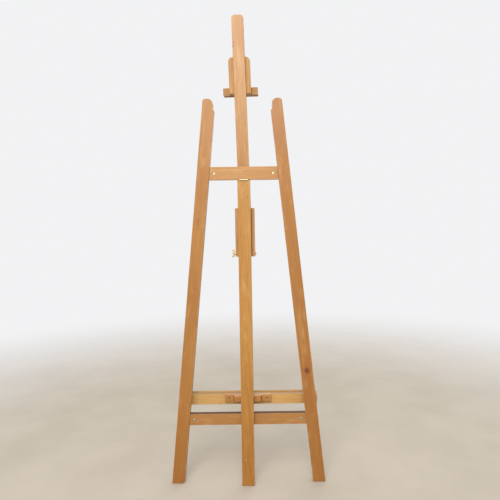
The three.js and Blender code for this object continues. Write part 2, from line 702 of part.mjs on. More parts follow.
// presses on the mast's front face when it is turned in
function wingScrew() {
  const hubY = clampFrontY - 2;
  const shank = rod([hubY - clampBackY, 0, 0], [1, 0, 0], BOLT_RADIUS);
  const screw = piece('clamp_wing_screw', join(wings(), shank), brass);
  screw.rotation.set(Math.PI / 2, 0, -Math.PI / 2, 'ZYX');
  screw.position.set(0, hubY, THUMB_SCREW_Z);
  return screw;
}

// everything that leans with the mast
function mastAssembly() {
  const lean = new THREE.Group();
  lean.rotation.y = MAST_LEAN;
  lean.position.z = MAST_PIVOT_Z;
  const upright = new THREE.Group();
  upright.position.z = -MAST_PIVOT_Z;
  upright.add(mast(), ...mastScrews());
  upright.add(clampPlate(), ...clampGuides(), clampLip(), clampInsert(), wingScrew());
  upright.add(...pair('lip_screw', woodScrew(...lipScrewEnds, ...BIG_SCREW), steel));
  lean.add(upright);
  return lean;
}

// ---------------------------------------------------------------- shelf

const keeperScrewZ = KEEPER_BOTTOM_Z + KEEPER_HEIGHT / 2;
const keeperTabY = keeperFrontY + KEEPER_TAB_THICK;
const keeperScrewEnds = [
  [KEEPER_SCREW_X, keeperTabY - HEAD_SUNK, keeperScrewZ],
  [KEEPER_SCREW_X, shelfBackY - 20, keeperScrewZ],
];
const keeperScrewHole = () => screwHole(...keeperScrewEnds, ...KEEPER_SCREW);

function shelfBar() {
  const x0 = SHELF_OFFSET_X - SHELF_LENGTH / 2;
  const x1 = SHELF_OFFSET_X + SHELF_LENGTH / 2;
  const topZ = SHELF_BOTTOM_Z + SHELF_HEIGHT;
  const outline = roundedOutline(x0, x1, SHELF_BOTTOM_Z, topZ, SHELF_CORNER_RADIUS, SHELF_LOWER_RADIUS);
  const blank = board(outline, shelfFrontY, shelfBackY, 6);
  const seatY = shelfBackY - SHELF_SEAT_DEEP;
  const seatZ = topZ - SHELF_SEAT_DROP;
  const seat = block([x0 - 1, seatY, seatZ], [x1 + 1, shelfBackY + 1, topZ + 1]);
  const screw = keeperScrewHole();
  return piece('shelf_bar', cut(blank, seat, screw, mirrored(screw)), shelfBeech);
}

// a thick block notched round the rail, with a thinner screw tab at each end
function shelfKeeper() {
  const y0 = keeperFrontY;
  const backY = y0 + KEEPER_MIDDLE_THICK;
  const outline = new THREE.Shape();
  outline.moveTo(-KEEPER_HALF_LENGTH, y0);
  outline.lineTo(KEEPER_HALF_LENGTH, y0);
  outline.lineTo(KEEPER_HALF_LENGTH, keeperTabY);
  outline.lineTo(KEEPER_HALF_MIDDLE, keeperTabY);
  outline.lineTo(KEEPER_HALF_MIDDLE - KEEPER_END_SLOPE, backY);
  outline.lineTo(-KEEPER_HALF_MIDDLE + KEEPER_END_SLOPE, backY);
  outline.lineTo(-KEEPER_HALF_MIDDLE, keeperTabY);
  outline.lineTo(-KEEPER_HALF_LENGTH, keeperTabY);
  const topZ = KEEPER_BOTTOM_Z + KEEPER_HEIGHT;
  const blank = slab(outline, KEEPER_BOTTOM_Z, topZ);
  const half = RAIL_WIDTH / 2 + 0.5;
  const notch = block([-half, y0 - 1, KEEPER_BOTTOM_Z - 1], [half, railBackY + 0.4, topZ + 1]);
  const middle = KEEPER_HALF_MIDDLE + 1;
  const underZ = KEEPER_BOTTOM_Z + KEEPER_RAISE;
  const under = block([-middle, keeperTabY, KEEPER_BOTTOM_Z - 1], [middle, backY + 1, underZ]);
  const screw = keeperScrewHole();
  return piece('shelf_keeper', cut(blank, notch, under, screw, mirrored(screw)), sleeveBeech);
}

function shelf() {
  const screw = woodScrew(...keeperScrewEnds, ...KEEPER_SCREW);
  return [shelfBar(), shelfKeeper(), ...pair('keeper_screw', screw, nickel)];
}

// ---------------------------------------------------------------- rear leg and hinge

// drawn with the hinge pin on the origin; the leg hangs along -Z in front of the pin
const leafScrewY = -LEAF_SCREW_BACK;
const leafFaceZ = LEAF_CLEAR + LEAF_THICK;
const rearTopZ = -2 * GAP;           // just clear of the pin's level, so the leaves lie in pockets
const rearBackY = -1.9;

// the leg rests on the lower crossbar's back face, so its slope follows from the two heights
const restRun = HINGE_Z - crossbars.lower.topZ;
const frontFaceAtTop = HINGE_Y + rearBackY - REAR_THICK;
const REAR_TILT = Math.atan((BAR_BACK_Y + GAP - frontFaceAtTop) / restRun);

// heads sit in the leaf, points reach away from the hinge: up into the crossbar or down into the leg
function leafScrewPlaces(up) {
  return [1, -1].map((side) => {
    const x = side * LEAF_SCREW_X;
    const headZ = HINGE_Z + up * 0.5;
    const y = HINGE_Y + leafScrewY;
    return [[x, y, headZ], [x, y, headZ + up * LEAF_SCREW_LENGTH]];
  });
}

const leafScrewHole = ([head, tip]) => screwHole(head, tip, ...LEAF_SCREW);

// the shallow recess that a leaf lies in, open at the back and towards the pin
function leafPocket(up) {
  const half = HINGE_LENGTH / 2 + GAP;
  const frontY = HINGE_Y - LEAF_REACH - GAP;
  const floorZ = HINGE_Z + up * (leafFaceZ + GAP);
  const openZ = HINGE_Z - up;
  return block([-half, frontY, Math.min(floorZ, openZ)], [half, HINGE_Y + 1, Math.max(floorZ, openZ)]);
}

// the knuckles sit at their own stretches of the barrel: outer two on one leaf, middle one on the other
function hingeLeaf(name, up, stretches) {
  const half = HINGE_LENGTH / 2;
  const y = HINGE_Y;
  const z = HINGE_Z;
  const faceZ = z + up * leafFaceZ;
  const innerZ = z + up * LEAF_CLEAR;
  const plate = block([-half, y - LEAF_REACH, innerZ], [half, y - KNUCKLE_RADIUS - GAP, faceZ]);
  const linkY = y - KNUCKLE_RADIUS - 1;
  const links = stretches.map(([x0, x1]) => block([x0, linkY, innerZ], [x1, y - 0.6, faceZ]));
  const knuckles = stretches.map(([x0, x1]) => rod([x0, y, z], [x1, y, z], KNUCKLE_RADIUS));
  const bore = HINGE_PIN_RADIUS + GAP;
  const pinHole = rod([-half - 1, y, z], [half + 1, y, z], bore, bore, SHANK_SIDES);
  const screws = leafScrewPlaces(up).map(leafScrewHole);
  return piece(name, cut(join(plate, ...links, ...knuckles), pinHole, ...screws), nickel);
}

function hingePin() {
  const half = HINGE_LENGTH / 2;
  const radius = HINGE_PIN_RADIUS;
  const pin = rod([-half, HINGE_Y, HINGE_Z], [half, HINGE_Y, HINGE_Z], radius, radius, SHANK_SIDES);
  return piece('hinge_pin', pin, steel);
}

function leafScrews(names, up) {
  return leafScrewPlaces(up).map(([head, tip], i) => (
    piece(names[i], woodScrew(head, tip, ...LEAF_SCREW), nickel)
  ));
}

const knuckleLength = HINGE_LENGTH / 3;
const outerKnuckles = [
  [-HINGE_LENGTH / 2, -knuckleLength / 2 - GAP / 2],
  [knuckleLength / 2 + GAP / 2, HINGE_LENGTH / 2],
];
const middleKnuckle = [[-knuckleLength / 2 + GAP / 2, knuckleLength / 2 - GAP / 2]];

function hingeOnCrossbar() {
  return [
    hingeLeaf('hinge_fixed_leaf', 1, outerKnuckles),
    hingePin(),
    ...leafScrews(['left_fixed_leaf_screw', 'right_fixed_leaf_screw'], 1),
  ];
}

function rearLeg() {
  const half = REAR_WIDTH / 2;
  const y1 = HINGE_Y + rearBackY;
  const length = HINGE_Z / Math.cos(REAR_TILT);
  const backCorner = Math.tan(REAR_TILT) * (REAR_THICK - rearBackY);
  const footZ = HINGE_Z - length + backCorner;
  const blank = block([-half, y1 - REAR_THICK, footZ], [half, y1, HINGE_Z + rearTopZ]);
  const screws = leafScrewPlaces(-1).map(leafScrewHole);
  return piece('rear_leg', cut(blank, leafPocket(-1), ...screws), rearBeech);
}

// everything that swings with the rear leg, tilted back onto the lower crossbar
function rearLegAssembly() {
  const swing = new THREE.Group();
  swing.rotation.x = REAR_TILT;
  swing.position.set(0, HINGE_Y, HINGE_Z);
  const hanging = new THREE.Group();
  hanging.position.set(0, -HINGE_Y, -HINGE_Z);
  hanging.add(rearLeg(), hingeLeaf('hinge_moving_leaf', -1, middleKnuckle));
  hanging.add(...leafScrews(['left_moving_leaf_screw', 'right_moving_leaf_screw'], -1));
  swing.add(hanging);
  return swing;
}

// ---------------------------------------------------------------- the easel

const easel = new THREE.Group();
easel.name = 'h_frame_easel';
easel.add(...sideLegs(), crossbar('upper'), crossbar('lower'));
easel.add(...frameFixings(), centreRail(), ...railScrews());
easel.add(...hingeOnCrossbar(), rearLegAssembly());
easel.add(sleeveWeb(), ...sleeveCheeks(), ...cheekScrews(), clampBolt(), washer(), wingNut());
easel.add(mastAssembly(), ...shelf());

// the origin is on the floor, below the middle of the easel's depth
const extent = new THREE.Box3().setFromObject(easel);
easel.position.y = -(extent.min.y + extent.max.y) / 2;

export default easel;
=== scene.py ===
# The looks of a folding beech studio easel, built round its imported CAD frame.
# Metres. +Z is up, the canvas side faces -Y, and the camera looks at the back from +Y.
# "left" pieces are on +X, as seen from behind.

import json
import math

import bmesh
import bpy
from mathutils import Matrix, Vector

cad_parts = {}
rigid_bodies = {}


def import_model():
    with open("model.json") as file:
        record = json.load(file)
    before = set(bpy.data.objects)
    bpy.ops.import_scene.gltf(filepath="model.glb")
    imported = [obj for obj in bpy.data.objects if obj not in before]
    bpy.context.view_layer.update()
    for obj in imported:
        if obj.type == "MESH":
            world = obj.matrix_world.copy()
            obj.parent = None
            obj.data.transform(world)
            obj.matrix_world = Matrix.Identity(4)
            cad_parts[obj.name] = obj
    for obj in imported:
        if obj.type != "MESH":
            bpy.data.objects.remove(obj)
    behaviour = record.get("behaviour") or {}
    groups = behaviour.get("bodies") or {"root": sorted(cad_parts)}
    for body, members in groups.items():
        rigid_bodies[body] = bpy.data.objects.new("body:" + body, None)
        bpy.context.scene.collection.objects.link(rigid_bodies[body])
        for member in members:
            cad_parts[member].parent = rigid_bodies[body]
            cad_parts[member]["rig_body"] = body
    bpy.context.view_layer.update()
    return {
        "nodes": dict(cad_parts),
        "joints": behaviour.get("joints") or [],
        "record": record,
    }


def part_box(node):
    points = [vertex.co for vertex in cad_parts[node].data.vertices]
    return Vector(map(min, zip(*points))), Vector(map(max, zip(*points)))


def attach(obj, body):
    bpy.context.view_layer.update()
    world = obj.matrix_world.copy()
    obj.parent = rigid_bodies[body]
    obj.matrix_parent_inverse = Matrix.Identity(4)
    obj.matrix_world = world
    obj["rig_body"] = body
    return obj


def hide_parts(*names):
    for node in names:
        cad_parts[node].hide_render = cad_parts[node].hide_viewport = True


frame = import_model()

MM = 0.001
SLOT_OF = {part["node"]: part["material_slot"] for part in frame["record"]["subparts"]}
JOINTS = {joint["name"]: joint for joint in frame["joints"]}

# ------------------------------------------------------------------ sizes the CAD boxes don't give

EASED = 1.4 * MM                 # rounding along the edges of the timber
FINE_EASED = 0.8 * MM            # the same on thin strips and grooves
SCREW_SINK = 0.5 * MM            # wood round a screw head is cut this much wider
RAIL_GROOVE_HIGH = 5 * MM
MAST_WIDTH = 40.5 * MM
MAST_TOP_RADIUS = 12 * MM
MAST_GROOVE_DEEP = 4.5 * MM
MAST_HEIGHT = 792 * MM           # from the foot of the mast to its round top
MAST_FOOT_Z = 807 * MM
LEAN_PIVOT_Z = 930 * MM          # the mast has swung a little about this height
CLAMP_WIDTH = 73.5 * MM
CLAMP_FOOT_Z = 1338 * MM
CLAMP_HEIGHT = 128 * MM
CLAMP_RADIUS = 16 * MM
GUIDE_WIDTH = 16 * MM
GUIDE_DROP = 5 * MM              # tops of the guides below the plate's top
GUIDE_REBATE_WIDE = 6 * MM
GUIDE_REBATE_DEEP = 3 * MM
TONGUE_HIGH = 4 * MM
LIP_WIDTH = 119 * MM
LIP_HEIGHT = 24 * MM
LIP_REBATE = 4 * MM
LIP_FRONT = 7 * MM
SHELF_RADIUS = 12 * MM
SHELF_LOWER_RADIUS = 4 * MM
SHELF_SEAT_DEEP = 24 * MM
SHELF_SEAT_DROP = 3 * MM
KEEPER_TAB_THICK = 11 * MM
KEEPER_HALF_MIDDLE = 50.5 * MM
KEEPER_RAISE = 6 * MM            # underside of the keeper's thick middle above its tabs'
REAR_LEG_THICK = 20 * MM
HINGE_HALF_WIDTH = 15 * MM
LEAF_REACH = 18.5 * MM
LEAF_INNER = 0.3 * MM            # the two faces of a hinge leaf, from the pin's level
LEAF_OUTER = 1.4 * MM
LEAF_SCREW_X = 9 * MM
LEAF_SCREW_REACH = 10.5 * MM
KNUCKLE_RADIUS = 2.4 * MM
POCKET_GAP = 0.3 * MM
THREAD_PITCH = 1.0 * MM
BOLT_RADIUS = 3 * MM
BOLT_HOLE_RADIUS = 3.4 * MM
CARRIAGE_SHANK = 40 * MM         # smooth length of the sleeve's bolt, head included
HUB_RADIUS = 5.6 * MM            # of the wing nut and the wing screw
HUB_LENGTH = 7 * MM
WING_SCREW_REACH = 14 * MM       # from its hub to its tip
OVERCUT = 0.01                   # a cutting tool reaches this far past the wood

lean_axis = Vector(JOINTS["top_clamp_slide"]["axis"])
LEAN = math.atan2(lean_axis.x, lean_axis.z)


# ------------------------------------------------------------------ solids, all as bmesh

def prism(outline, axis, low, high):
    """A closed solid from an outline in the other two axes, run from low to high along axis."""
    place = {
        "x": lambda a, b, t: (t, a, b),
        "y": lambda a, b, t: (a, t, b),
        "z": lambda a, b, t: (a, b, t),
    }[axis]
    solid = bmesh.new()
    first = [solid.verts.new(place(a, b, low)) for a, b in outline]
    second = [solid.verts.new(place(a, b, high)) for a, b in outline]
    solid.faces.new(first)
    solid.faces.new(list(reversed(second)))
    count = len(outline)
    for i in range(count):
        j = (i + 1) % count
        solid.faces.new((first[i], second[i], second[j], first[j]))
    bmesh.ops.recalc_face_normals(solid, faces=solid.faces)
    return solid


def block(low, high):
    corners = [(low[0], low[2]), (high[0], low[2]), (high[0], high[2]), (low[0], high[2])]
    return prism(corners, "y", low[1], high[1])


def arc(centre, radius, start, end, steps=10):
    """Points of a circular arc, angles in degrees."""
    points = []
    for i in range(steps + 1):
        angle = math.radians(start + (end - start) * i / steps)
        points.append((centre[0] + radius * math.cos(angle), centre[1] + radius * math.sin(angle)))
    return points


def rounded_outline(x0, x1, z0, z1, upper, lower=0.0):
    """A rectangle with its upper and lower corners rounded."""
    if lower:
        outline = arc((x0 + lower, z0 + lower), lower, 180, 270, 6)
        outline += arc((x1 - lower, z0 + lower), lower, 270, 360, 6)
    else:
        outline = [(x0, z0), (x1, z0)]
    outline += arc((x1 - upper, z1 - upper), upper, 0, 90)
    outline += arc((x0 + upper, z1 - upper), upper, 90, 180)
    return outline


def lathe(profile, sides=32):
    """A solid turned round +Z from (radius, height) points. Radius 0 closes an end."""
    solid = bmesh.new()
    rings = []
    for radius, height in profile:
        if radius == 0:
            rings.append([solid.verts.new((0, 0, height))])
            continue
        ring = []
        for k in range(sides):
            a = 2 * math.pi * k / sides
            ring.append(solid.verts.new((radius * math.cos(a), radius * math.sin(a), height)))
        rings.append(ring)
    for lower, upper in zip(rings, rings[1:]):
        for k in range(sides):
            n = (k + 1) % sides
            corners = [lower[k % len(lower)], lower[n % len(lower)]]
            corners += [upper[n % len(upper)], upper[k % len(upper)]]
            solid.faces.new(list(dict.fromkeys(corners)))
    for ring, flip in ((rings[0], True), (rings[-1], False)):
        if len(ring) > 1:
            solid.faces.new(list(reversed(ring)) if flip else ring)
    bmesh.ops.recalc_face_normals(solid, faces=solid.faces)
    return solid


def chamfered(radius, length, chamfer):
    """The lathe profile of a cylinder with chamfered ends."""
    narrow = radius - chamfer
    return [(narrow, 0), (radius, chamfer), (radius, length - chamfer), (narrow, length)]


def threaded_rod(radius, length, pitch=THREAD_PITCH, sides=24, steps=5):
    """A rod along +Z with a real helical thread."""
    depth = pitch * 0.45
    solid = bmesh.new()
    rows = int(length / pitch * steps)
    rings = []
    for i in range(rows + 1):
        height = length * i / rows
        ring = []
        for k in range(sides):
            phase = (height / pitch - k / sides) % 1.0
            r = radius - depth * abs(2 * phase - 1)
            a = 2 * math.pi * k / sides
            ring.append(solid.verts.new((r * math.cos(a), r * math.sin(a), height)))
        rings.append(ring)
    for lower, upper in zip(rings, rings[1:]):
        for k in range(sides):
            n = (k + 1) % sides
            solid.faces.new((lower[k], lower[n], upper[n], upper[k]))
    solid.faces.new(list(reversed(rings[0])))
    solid.faces.new(rings[-1])
    bmesh.ops.recalc_face_normals(solid, faces=solid.faces)
    return solid


def moved(solid, matrix):
    """Moves a solid in place and hands it back."""
    bmesh.ops.transform(solid, matrix=matrix, verts=solid.verts)
    return solid


def aim(origin, direction):
    """Takes +Z at the origin to a direction at another place."""
    turn = Vector(direction).to_track_quat("Z", "Y").to_matrix().to_4x4()
    return Matrix.Translation(origin) @ turn


def rod(start, end, radius, sides=32):
    """A cylinder between two points."""
    run = Vector(end) - Vector(start)
    return moved(lathe([(radius, 0), (radius, run.length)], sides), aim(start, run))


def eased(solid, radius=EASED, steps=3, least_angle=28):
    """Rounds the sharp edges of a solid."""
    sharp = [e for e in solid.edges if e.calc_face_angle(0) > math.radians(least_angle)]
    bmesh.ops.bevel(
        solid, geom=sharp, offset=radius, offset_type="OFFSET", segments=steps,
        profile=0.5, affect="EDGES", clamp_overlap=True,
    )
    return solid


def together(*solids):
    """Several solids in one mesh, without cutting them."""
    whole = bmesh.new()
    for solid in solids:
        mesh = mesh_of(solid)
        whole.from_mesh(mesh)
        bpy.data.meshes.remove(mesh)
    return whole


def mesh_of(solid, name="part"):
    """Turns a bmesh solid into a mesh, and frees it."""
    mesh = bpy.data.meshes.new(name)
    solid.to_mesh(mesh)
    solid.free()
    return mesh


def combined(solid, tool, operation):
    """An exact boolean of two solids."""
    target = bpy.data.objects.new("target", mesh_of(solid))
    cutter = bpy.data.objects.new("cutter", mesh_of(tool))
    for thing in (target, cutter):
        bpy.context.scene.collection.objects.link(thing)
    change = target.modifiers.new("change", "BOOLEAN")
    change.operation = operation
    change.solver = "EXACT"
    change.object = cutter
    seen = target.evaluated_get(bpy.context.evaluated_depsgraph_get())
    mesh = bpy.data.meshes.new_from_object(seen)
    result = bmesh.new()
    result.from_mesh(mesh)
    for thing in (target, cutter):
        bpy.data.objects.remove(thing)
    bpy.data.meshes.remove(mesh)
    bmesh.ops.remove_doubles(result, verts=result.verts, dist=1e-6)
    return result


def cut(solid, *tools):
    for tool in tools:
        solid = combined(solid, tool, "DIFFERENCE")
    return solid


def joined(solid, *others):
    for other in others:
        solid = combined(solid, other, "UNION")
    return solid


def leaned(solid):
    """Turns a solid drawn upright into the mast's lean."""
    pivot = Matrix.Translation((0, 0, LEAN_PIVOT_Z))
    return moved(solid, pivot @ Matrix.Rotation(LEAN, 4, "Y") @ pivot.inverted())


# ------------------------------------------------------------------ reading the frame

def centre(node):
    low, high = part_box(node)
    return (low + high) / 2


def rim(node, axis):
    """The outline of a CAD node's end face on its high side along an axis, in the other two axes."""
    index = "xyz".index(axis)
    first, second = [i for i in range(3) if i != index]

    def width(loop):
        across = [p[first] for p in loop]
        return max(across) - min(across)

    widest = max(closed_loops(border(node, index)), key=width)
    return straightened([(p[first], p[second]) for p in widest])


def border(node, index):
    """The corners along the border of a CAD node's end face, each with its neighbours."""
    mesh = frame["nodes"][node].data
    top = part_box(node)[1][index]
    spots = [tuple(round(c, 6) for c in v.co) for v in mesh.vertices]
    uses = {}
    for face in mesh.polygons:
        corners = [spots[i] for i in face.vertices]
        if any(abs(c[index] - top) > 2e-5 for c in corners):
            continue
        for a, b in zip(corners, corners[1:] + corners[:1]):
            key = frozenset((a, b))
            uses[key] = uses.get(key, 0) + 1
    neighbours = {}
    for key, count in uses.items():
        if count == 1:
            a, b = key
            neighbours.setdefault(a, []).append(b)
            neighbours.setdefault(b, []).append(a)
    return neighbours


def closed_loops(neighbours):
    """Walks once round every loop of corners."""
    loops = []
    left = set(neighbours)
    while left:
        start = min(left)
        loop = [start]
        left.discard(start)
        ahead = neighbours[start][0]
        while ahead != start:
            loop.append(ahead)
            left.discard(ahead)
            onward = [n for n in neighbours[ahead] if n != loop[-2]]
            ahead = onward[0]
        loops.append(loop)
    return loops


def straightened(outline):
    """The outline without points that lie on a straight run."""
    kept = []
    for i, here in enumerate(outline):
        arriving = (Vector(here) - Vector(outline[i - 1])).normalized()
        leaving = (Vector(outline[(i + 1) % len(outline)]) - Vector(here)).normalized()
        if abs(arriving.cross(leaving)) > 1e-3:
            kept.append(here)
    return kept


def slope_of(outline):
    """The angle from vertical of an outline's longest side, in radians, towards +x at the top."""
    pairs = zip(outline, outline[1:] + outline[:1])
    a, b = max(pairs, key=lambda pair: (Vector(pair[0]) - Vector(pair[1])).length)
    run = Vector(b) - Vector(a)
    if run.y < 0:
        run = -run
    return math.atan2(run.x, run.y)


# ------------------------------------------------------------------ materials

def rgb(code):
    """A colour written as six hex digits, in the linear numbers that shaders take."""
    parts = [int(code[i:i + 2], 16) / 255 for i in (0, 2, 4)]
    return tuple(p / 12.92 if p <= 0.04045 else ((p + 0.055) / 1.055) ** 2.4 for p in parts) + (1.0,)


class Look:
    """One material and short ways to add nodes to it."""

    def __init__(self, name):
        self.material = bpy.data.materials.new(name)
        self.material.use_nodes = True
        self.tree = self.material.node_tree
        self.shader = self.tree.nodes["Principled BSDF"]

    def set(self, node, socket, value):
        target = node.inputs[socket]
        if isinstance(value, bpy.types.NodeSocket):
            self.tree.links.new(value, target)
        else:
            target.default_value = value

    def add(self, kind, sockets=(), **settings):
        node = self.tree.nodes.new(kind)
        for key, value in settings.items():
            setattr(node, key, value)
        for socket, value in dict(sockets).items():
            self.set(node, socket, value)
        return node

    def scaled(self, vector, scale):
        node = self.add("ShaderNodeVectorMath", {0: vector, 1: scale}, operation="MULTIPLY")
        return node.outputs[0]

    def noise(self, vector, scale=(1, 1, 1), detail=2.0, roughness=0.5):
        sockets = {
            "Vector": self.scaled(vector, scale),
            "Scale": 1.0,
            "Detail": detail,
            "Roughness": roughness,
        }
        return self.add("ShaderNodeTexNoise", sockets).outputs["Fac"]

    def math(self, operation, a, b=0.0):
        return self.add("ShaderNodeMath", {0: a, 1: b}, operation=operation).outputs[0]

    def fit(self, value, low, high, to_low=0.0, to_high=1.0):
        """Maps low..high to to_low..to_high, with soft ends."""
        sockets = {
            "Value": value,
            "From Min": low,
            "From Max": high,
            "To Min": to_low,
            "To Max": to_high,
        }
        return self.add("ShaderNodeMapRange", sockets, interpolation_type="SMOOTHSTEP").outputs[0]

    def mix(self, factor, a, b, blend="MIX"):
        node = self.add("ShaderNodeMix", data_type="RGBA", blend_type=blend, clamp_factor=True)
        for socket, value in ((0, factor), (6, a), (7, b)):
            self.set(node, socket, value)
        return node.outputs[2]

    def bump(self, height, strength, distance):
        sockets = {"Height": height, "Strength": strength, "Distance": distance}
        self.set(self.shader, "Normal", self.add("ShaderNodeBump", sockets).outputs[0])


class Spot:
    """A knot or a mark: where it is, how far it reaches across and along the grain, and its colour."""

    def __init__(self, place, across, along, color, strength=0.9):
        self.place = place
        self.across = across
        self.along = along
        self.color = rgb(color)
        self.strength = strength


ALONG_Z = 0.0
ALONG_X = -math.pi / 2


def growth_rings(look, grain, shifted, seed):
    """Growth rings round a pith outside the board, drawn out along the grain."""
    wander = look.noise(shifted, (9, 9, 1.6), 2.0, 0.55)
    stretched = look.scaled(grain, (1, 1, 0.05))
    pith = (0.075, 0.11, seed * 0.31)
    sockets = {
        "Vector": look.add("ShaderNodeVectorMath", {0: stretched, 1: pith}).outputs[0],
        "Scale": 62.0,
        "Distortion": 5.0,
        "Detail": 2.0,
        "Detail Scale": 0.35,
        "Phase Offset": look.math("MULTIPLY", wander, 14.0),
    }
    shape = {"wave_type": "RINGS", "rings_direction": "Z", "wave_profile": "SAW"}
    rings = look.add("ShaderNodeTexWave", sockets, **shape).outputs["Fac"]
    return look.fit(rings, 0.45, 1.0)


def spotted(look, color, place, shifted, turn, spots):
    """Knots and marks over a colour, with ragged edges."""
    for spot in spots:
        sockets = {0: place, 1: spot.place}
        away = look.add("ShaderNodeVectorMath", sockets, operation="SUBTRACT").outputs[0]
        turned = look.add("ShaderNodeMapping", {"Vector": away, "Rotation": (0, turn, 0)}).outputs[0]
        reach = (1 / spot.across, 1 / spot.across, 1 / spot.along)
        sockets = {0: look.scaled(turned, reach)}
        distance = look.add("ShaderNodeVectorMath", sockets, operation="LENGTH").outputs["Value"]
        uneven = look.fit(look.noise(shifted, (300, 300, 120), 2.0), 0.2, 0.8, -0.3, 0.3)
        mask = look.fit(look.math("ADD", distance, uneven), 0.35, 1.1, spot.strength, 0.0)
        color = look.mix(mask, color, spot.color)
    return color


def wear_and_painted_light(look, color, coordinates, shifted, turn, shaded_top, lit_under, low_shade):
    """Dark end grain, painted shade towards the floor, painted bounce light on the underside, rubbed
    edges and painted shade on faces that look up.
    """
    place = coordinates.outputs["Object"]
    outward = coordinates.outputs["Normal"]
    normal = look.add("ShaderNodeMapping", {"Vector": outward, "Rotation": (0, turn, 0)})
    facing = look.add("ShaderNodeSeparateXYZ", {0: normal.outputs[0]}).outputs["Z"]
    end = look.fit(look.math("ABSOLUTE", facing), 0.75, 0.95, 0.0, 0.5)
    color = look.mix(end, color, rgb("8c5426"))

    upward = look.add("ShaderNodeSeparateXYZ", {0: outward}).outputs["Z"]
    # painted shade: the wood is darker and more orange towards the floor, where the light falls off
    if low_shade:
        height = look.add("ShaderNodeSeparateXYZ", {0: place}).outputs["Z"]
        color = look.mix(look.fit(height, 0.0, 0.6, low_shade, 0.0), color, rgb("8c4e12"))
    # painted bounce light: faces that look down are made paler
    if lit_under:
        color = look.mix(look.fit(upward, -0.95, -0.6, lit_under, 0.0), color, rgb("e6bd98"))

    # handled edges are rubbed paler, except underneath
    worn = look.add("ShaderNodeAttribute", attribute_name="worn").outputs["Fac"]
    patchy = look.fit(look.noise(shifted, (90, 90, 24), 3.0), 0.4, 0.65, 0.1, 0.6)
    rubbed = look.math("MULTIPLY", worn, patchy)
    rubbed = look.math("MULTIPLY", rubbed, look.fit(upward, -0.7, -0.2))
    color = look.mix(rubbed, color, rgb("dcae78"))
    # painted shade: faces that look up are made darker
    if shaded_top:
        top_shade = look.fit(upward, 0.35, 0.8, 0.0, shaded_top)
        color = look.mix(top_shade, color, rgb("4a2c1c"))
    return color


def beech(
    name, light, deep, seed, turn=ALONG_Z, spots=(), shaded_top=0.0, lit_under=0.0, low_shade=0.0, coat=0.75
):
    """Satin varnished beech. `turn` about Y brings the length of the piece onto the grain's Z axis.

    shaded_top paints shade on faces that look up, lit_under paints bounce light on those that look down,
    and low_shade paints shade on the wood towards the floor: each from 0 to 1. coat is the weight of the
    varnish.
    """
    look = Look(name)
    coordinates = look.add("ShaderNodeTexCoord")
    place = coordinates.outputs["Object"]
    along = look.add("ShaderNodeMapping", {"Vector": place, "Rotation": (0, turn, 0)})
    grain = along.outputs[0]
    shift = (seed * 3.7, seed * 1.9, seed * 5.3)
    shifted = look.add("ShaderNodeVectorMath", {0: grain, 1: shift}).outputs[0]

    cloudy = look.noise(shifted, (16, 16, 2.4), 2.0)
    color = look.mix(look.fit(cloudy, 0.35, 0.65), rgb(light), rgb(deep))
    rings = growth_rings(look, grain, shifted, seed)
    color = look.mix(look.math("MULTIPLY", rings, 0.22), color, rgb("8a5328"))

    # fibres, short ray flecks and a pale haze
    fibre = look.noise(shifted, (620, 620, 9), 3.0, 0.6)
    color = look.mix(look.fit(fibre, 0.35, 0.75, 0.0, 0.26), color, rgb("7a4620"))
    fleck = look.fit(look.noise(shifted, (900, 900, 150), 1.0), 0.6, 0.7)
    color = look.mix(look.math("MULTIPLY", fleck, 0.3), color, rgb("6b3a18"))
    haze = look.fit(look.noise(shifted, (60, 60, 14), 3.0, 0.6), 0.5, 0.8, 0.0, 0.22)
    color = look.mix(haze, color, rgb("e2b880"))

    color = spotted(look, color, place, shifted, turn, spots)
    color = wear_and_painted_light(look, color, coordinates, shifted, turn, shaded_top, lit_under, low_shade)
    gloss = look.fit(look.noise(shifted, (45, 45, 9), 3.0), 0.3, 0.7, 0.44, 0.6)
    shader = look.shader
    look.set(shader, "Base Color", color)
    look.set(shader, "Roughness", gloss)
    look.set(shader, "Coat Weight", coat)
    look.set(shader, "Coat Roughness", 0.38)
    look.set(shader, "Specular IOR Level", 0.15)
    relief = look.math("SUBTRACT", fibre, look.math("MULTIPLY", fleck, 0.5))
    look.bump(relief, 0.25, 0.0004)
    return look.material


def plated(name, clean, dull, seed, rough=(0.2, 0.42)):
    """Plated hardware with handling marks and a little tarnish."""
    look = Look(name)
    place = look.add("ShaderNodeTexCoord").outputs["Object"]
    shifted = look.add("ShaderNodeVectorMath", {0: place, 1: (seed * 2.3, seed, seed * 0.7)}).outputs[0]
    tarnish = look.fit(look.noise(shifted, (240, 240, 240), 4.0, 0.6), 0.42, 0.7)
    look.set(look.shader, "Base Color", look.mix(tarnish, rgb(clean), rgb(dull)))
    scratches = look.noise(shifted, (2600, 500, 900), 2.0, 0.6)
    look.set(look.shader, "Roughness", look.fit(scratches, 0.3, 0.75, rough[0], rough[1]))
    look.set(look.shader, "Metallic", 1.0)
    look.bump(scratches, 0.12, 0.0001)
    return look.material


# ------------------------------------------------------------------ pieces

def piece(node, solid, material, smooth=32):
    """Puts a finished solid in the place of a CAD node.

    Vertices that only touch narrow faces, those of the rounded edges, are marked as worn.
    """
    worn = solid.verts.layers.float.new("worn")
    narrow = {}
    for face in solid.faces:
        width = 2 * face.calc_area() / max(face.calc_perimeter(), 1e-9)
        narrow[face] = width < 1.0 * MM
    for vertex in solid.verts:
        vertex[worn] = float(all(narrow[face] for face in vertex.link_faces))
    mesh = mesh_of(solid, node + "_piece")
    mesh.materials.append(material)
    mesh.shade_smooth()
    mesh.set_sharp_from_angle(angle=math.radians(smooth))
    thing = bpy.data.objects.new(node + "_piece", mesh)
    bpy.context.scene.collection.objects.link(thing)
    flat = thing.modifiers.new("flat faces", "WEIGHTED_NORMAL")
    flat.keep_sharp = True
    flat.weight = 80
    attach(thing, frame["nodes"][node]["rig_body"])
    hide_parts(node)
    return thing


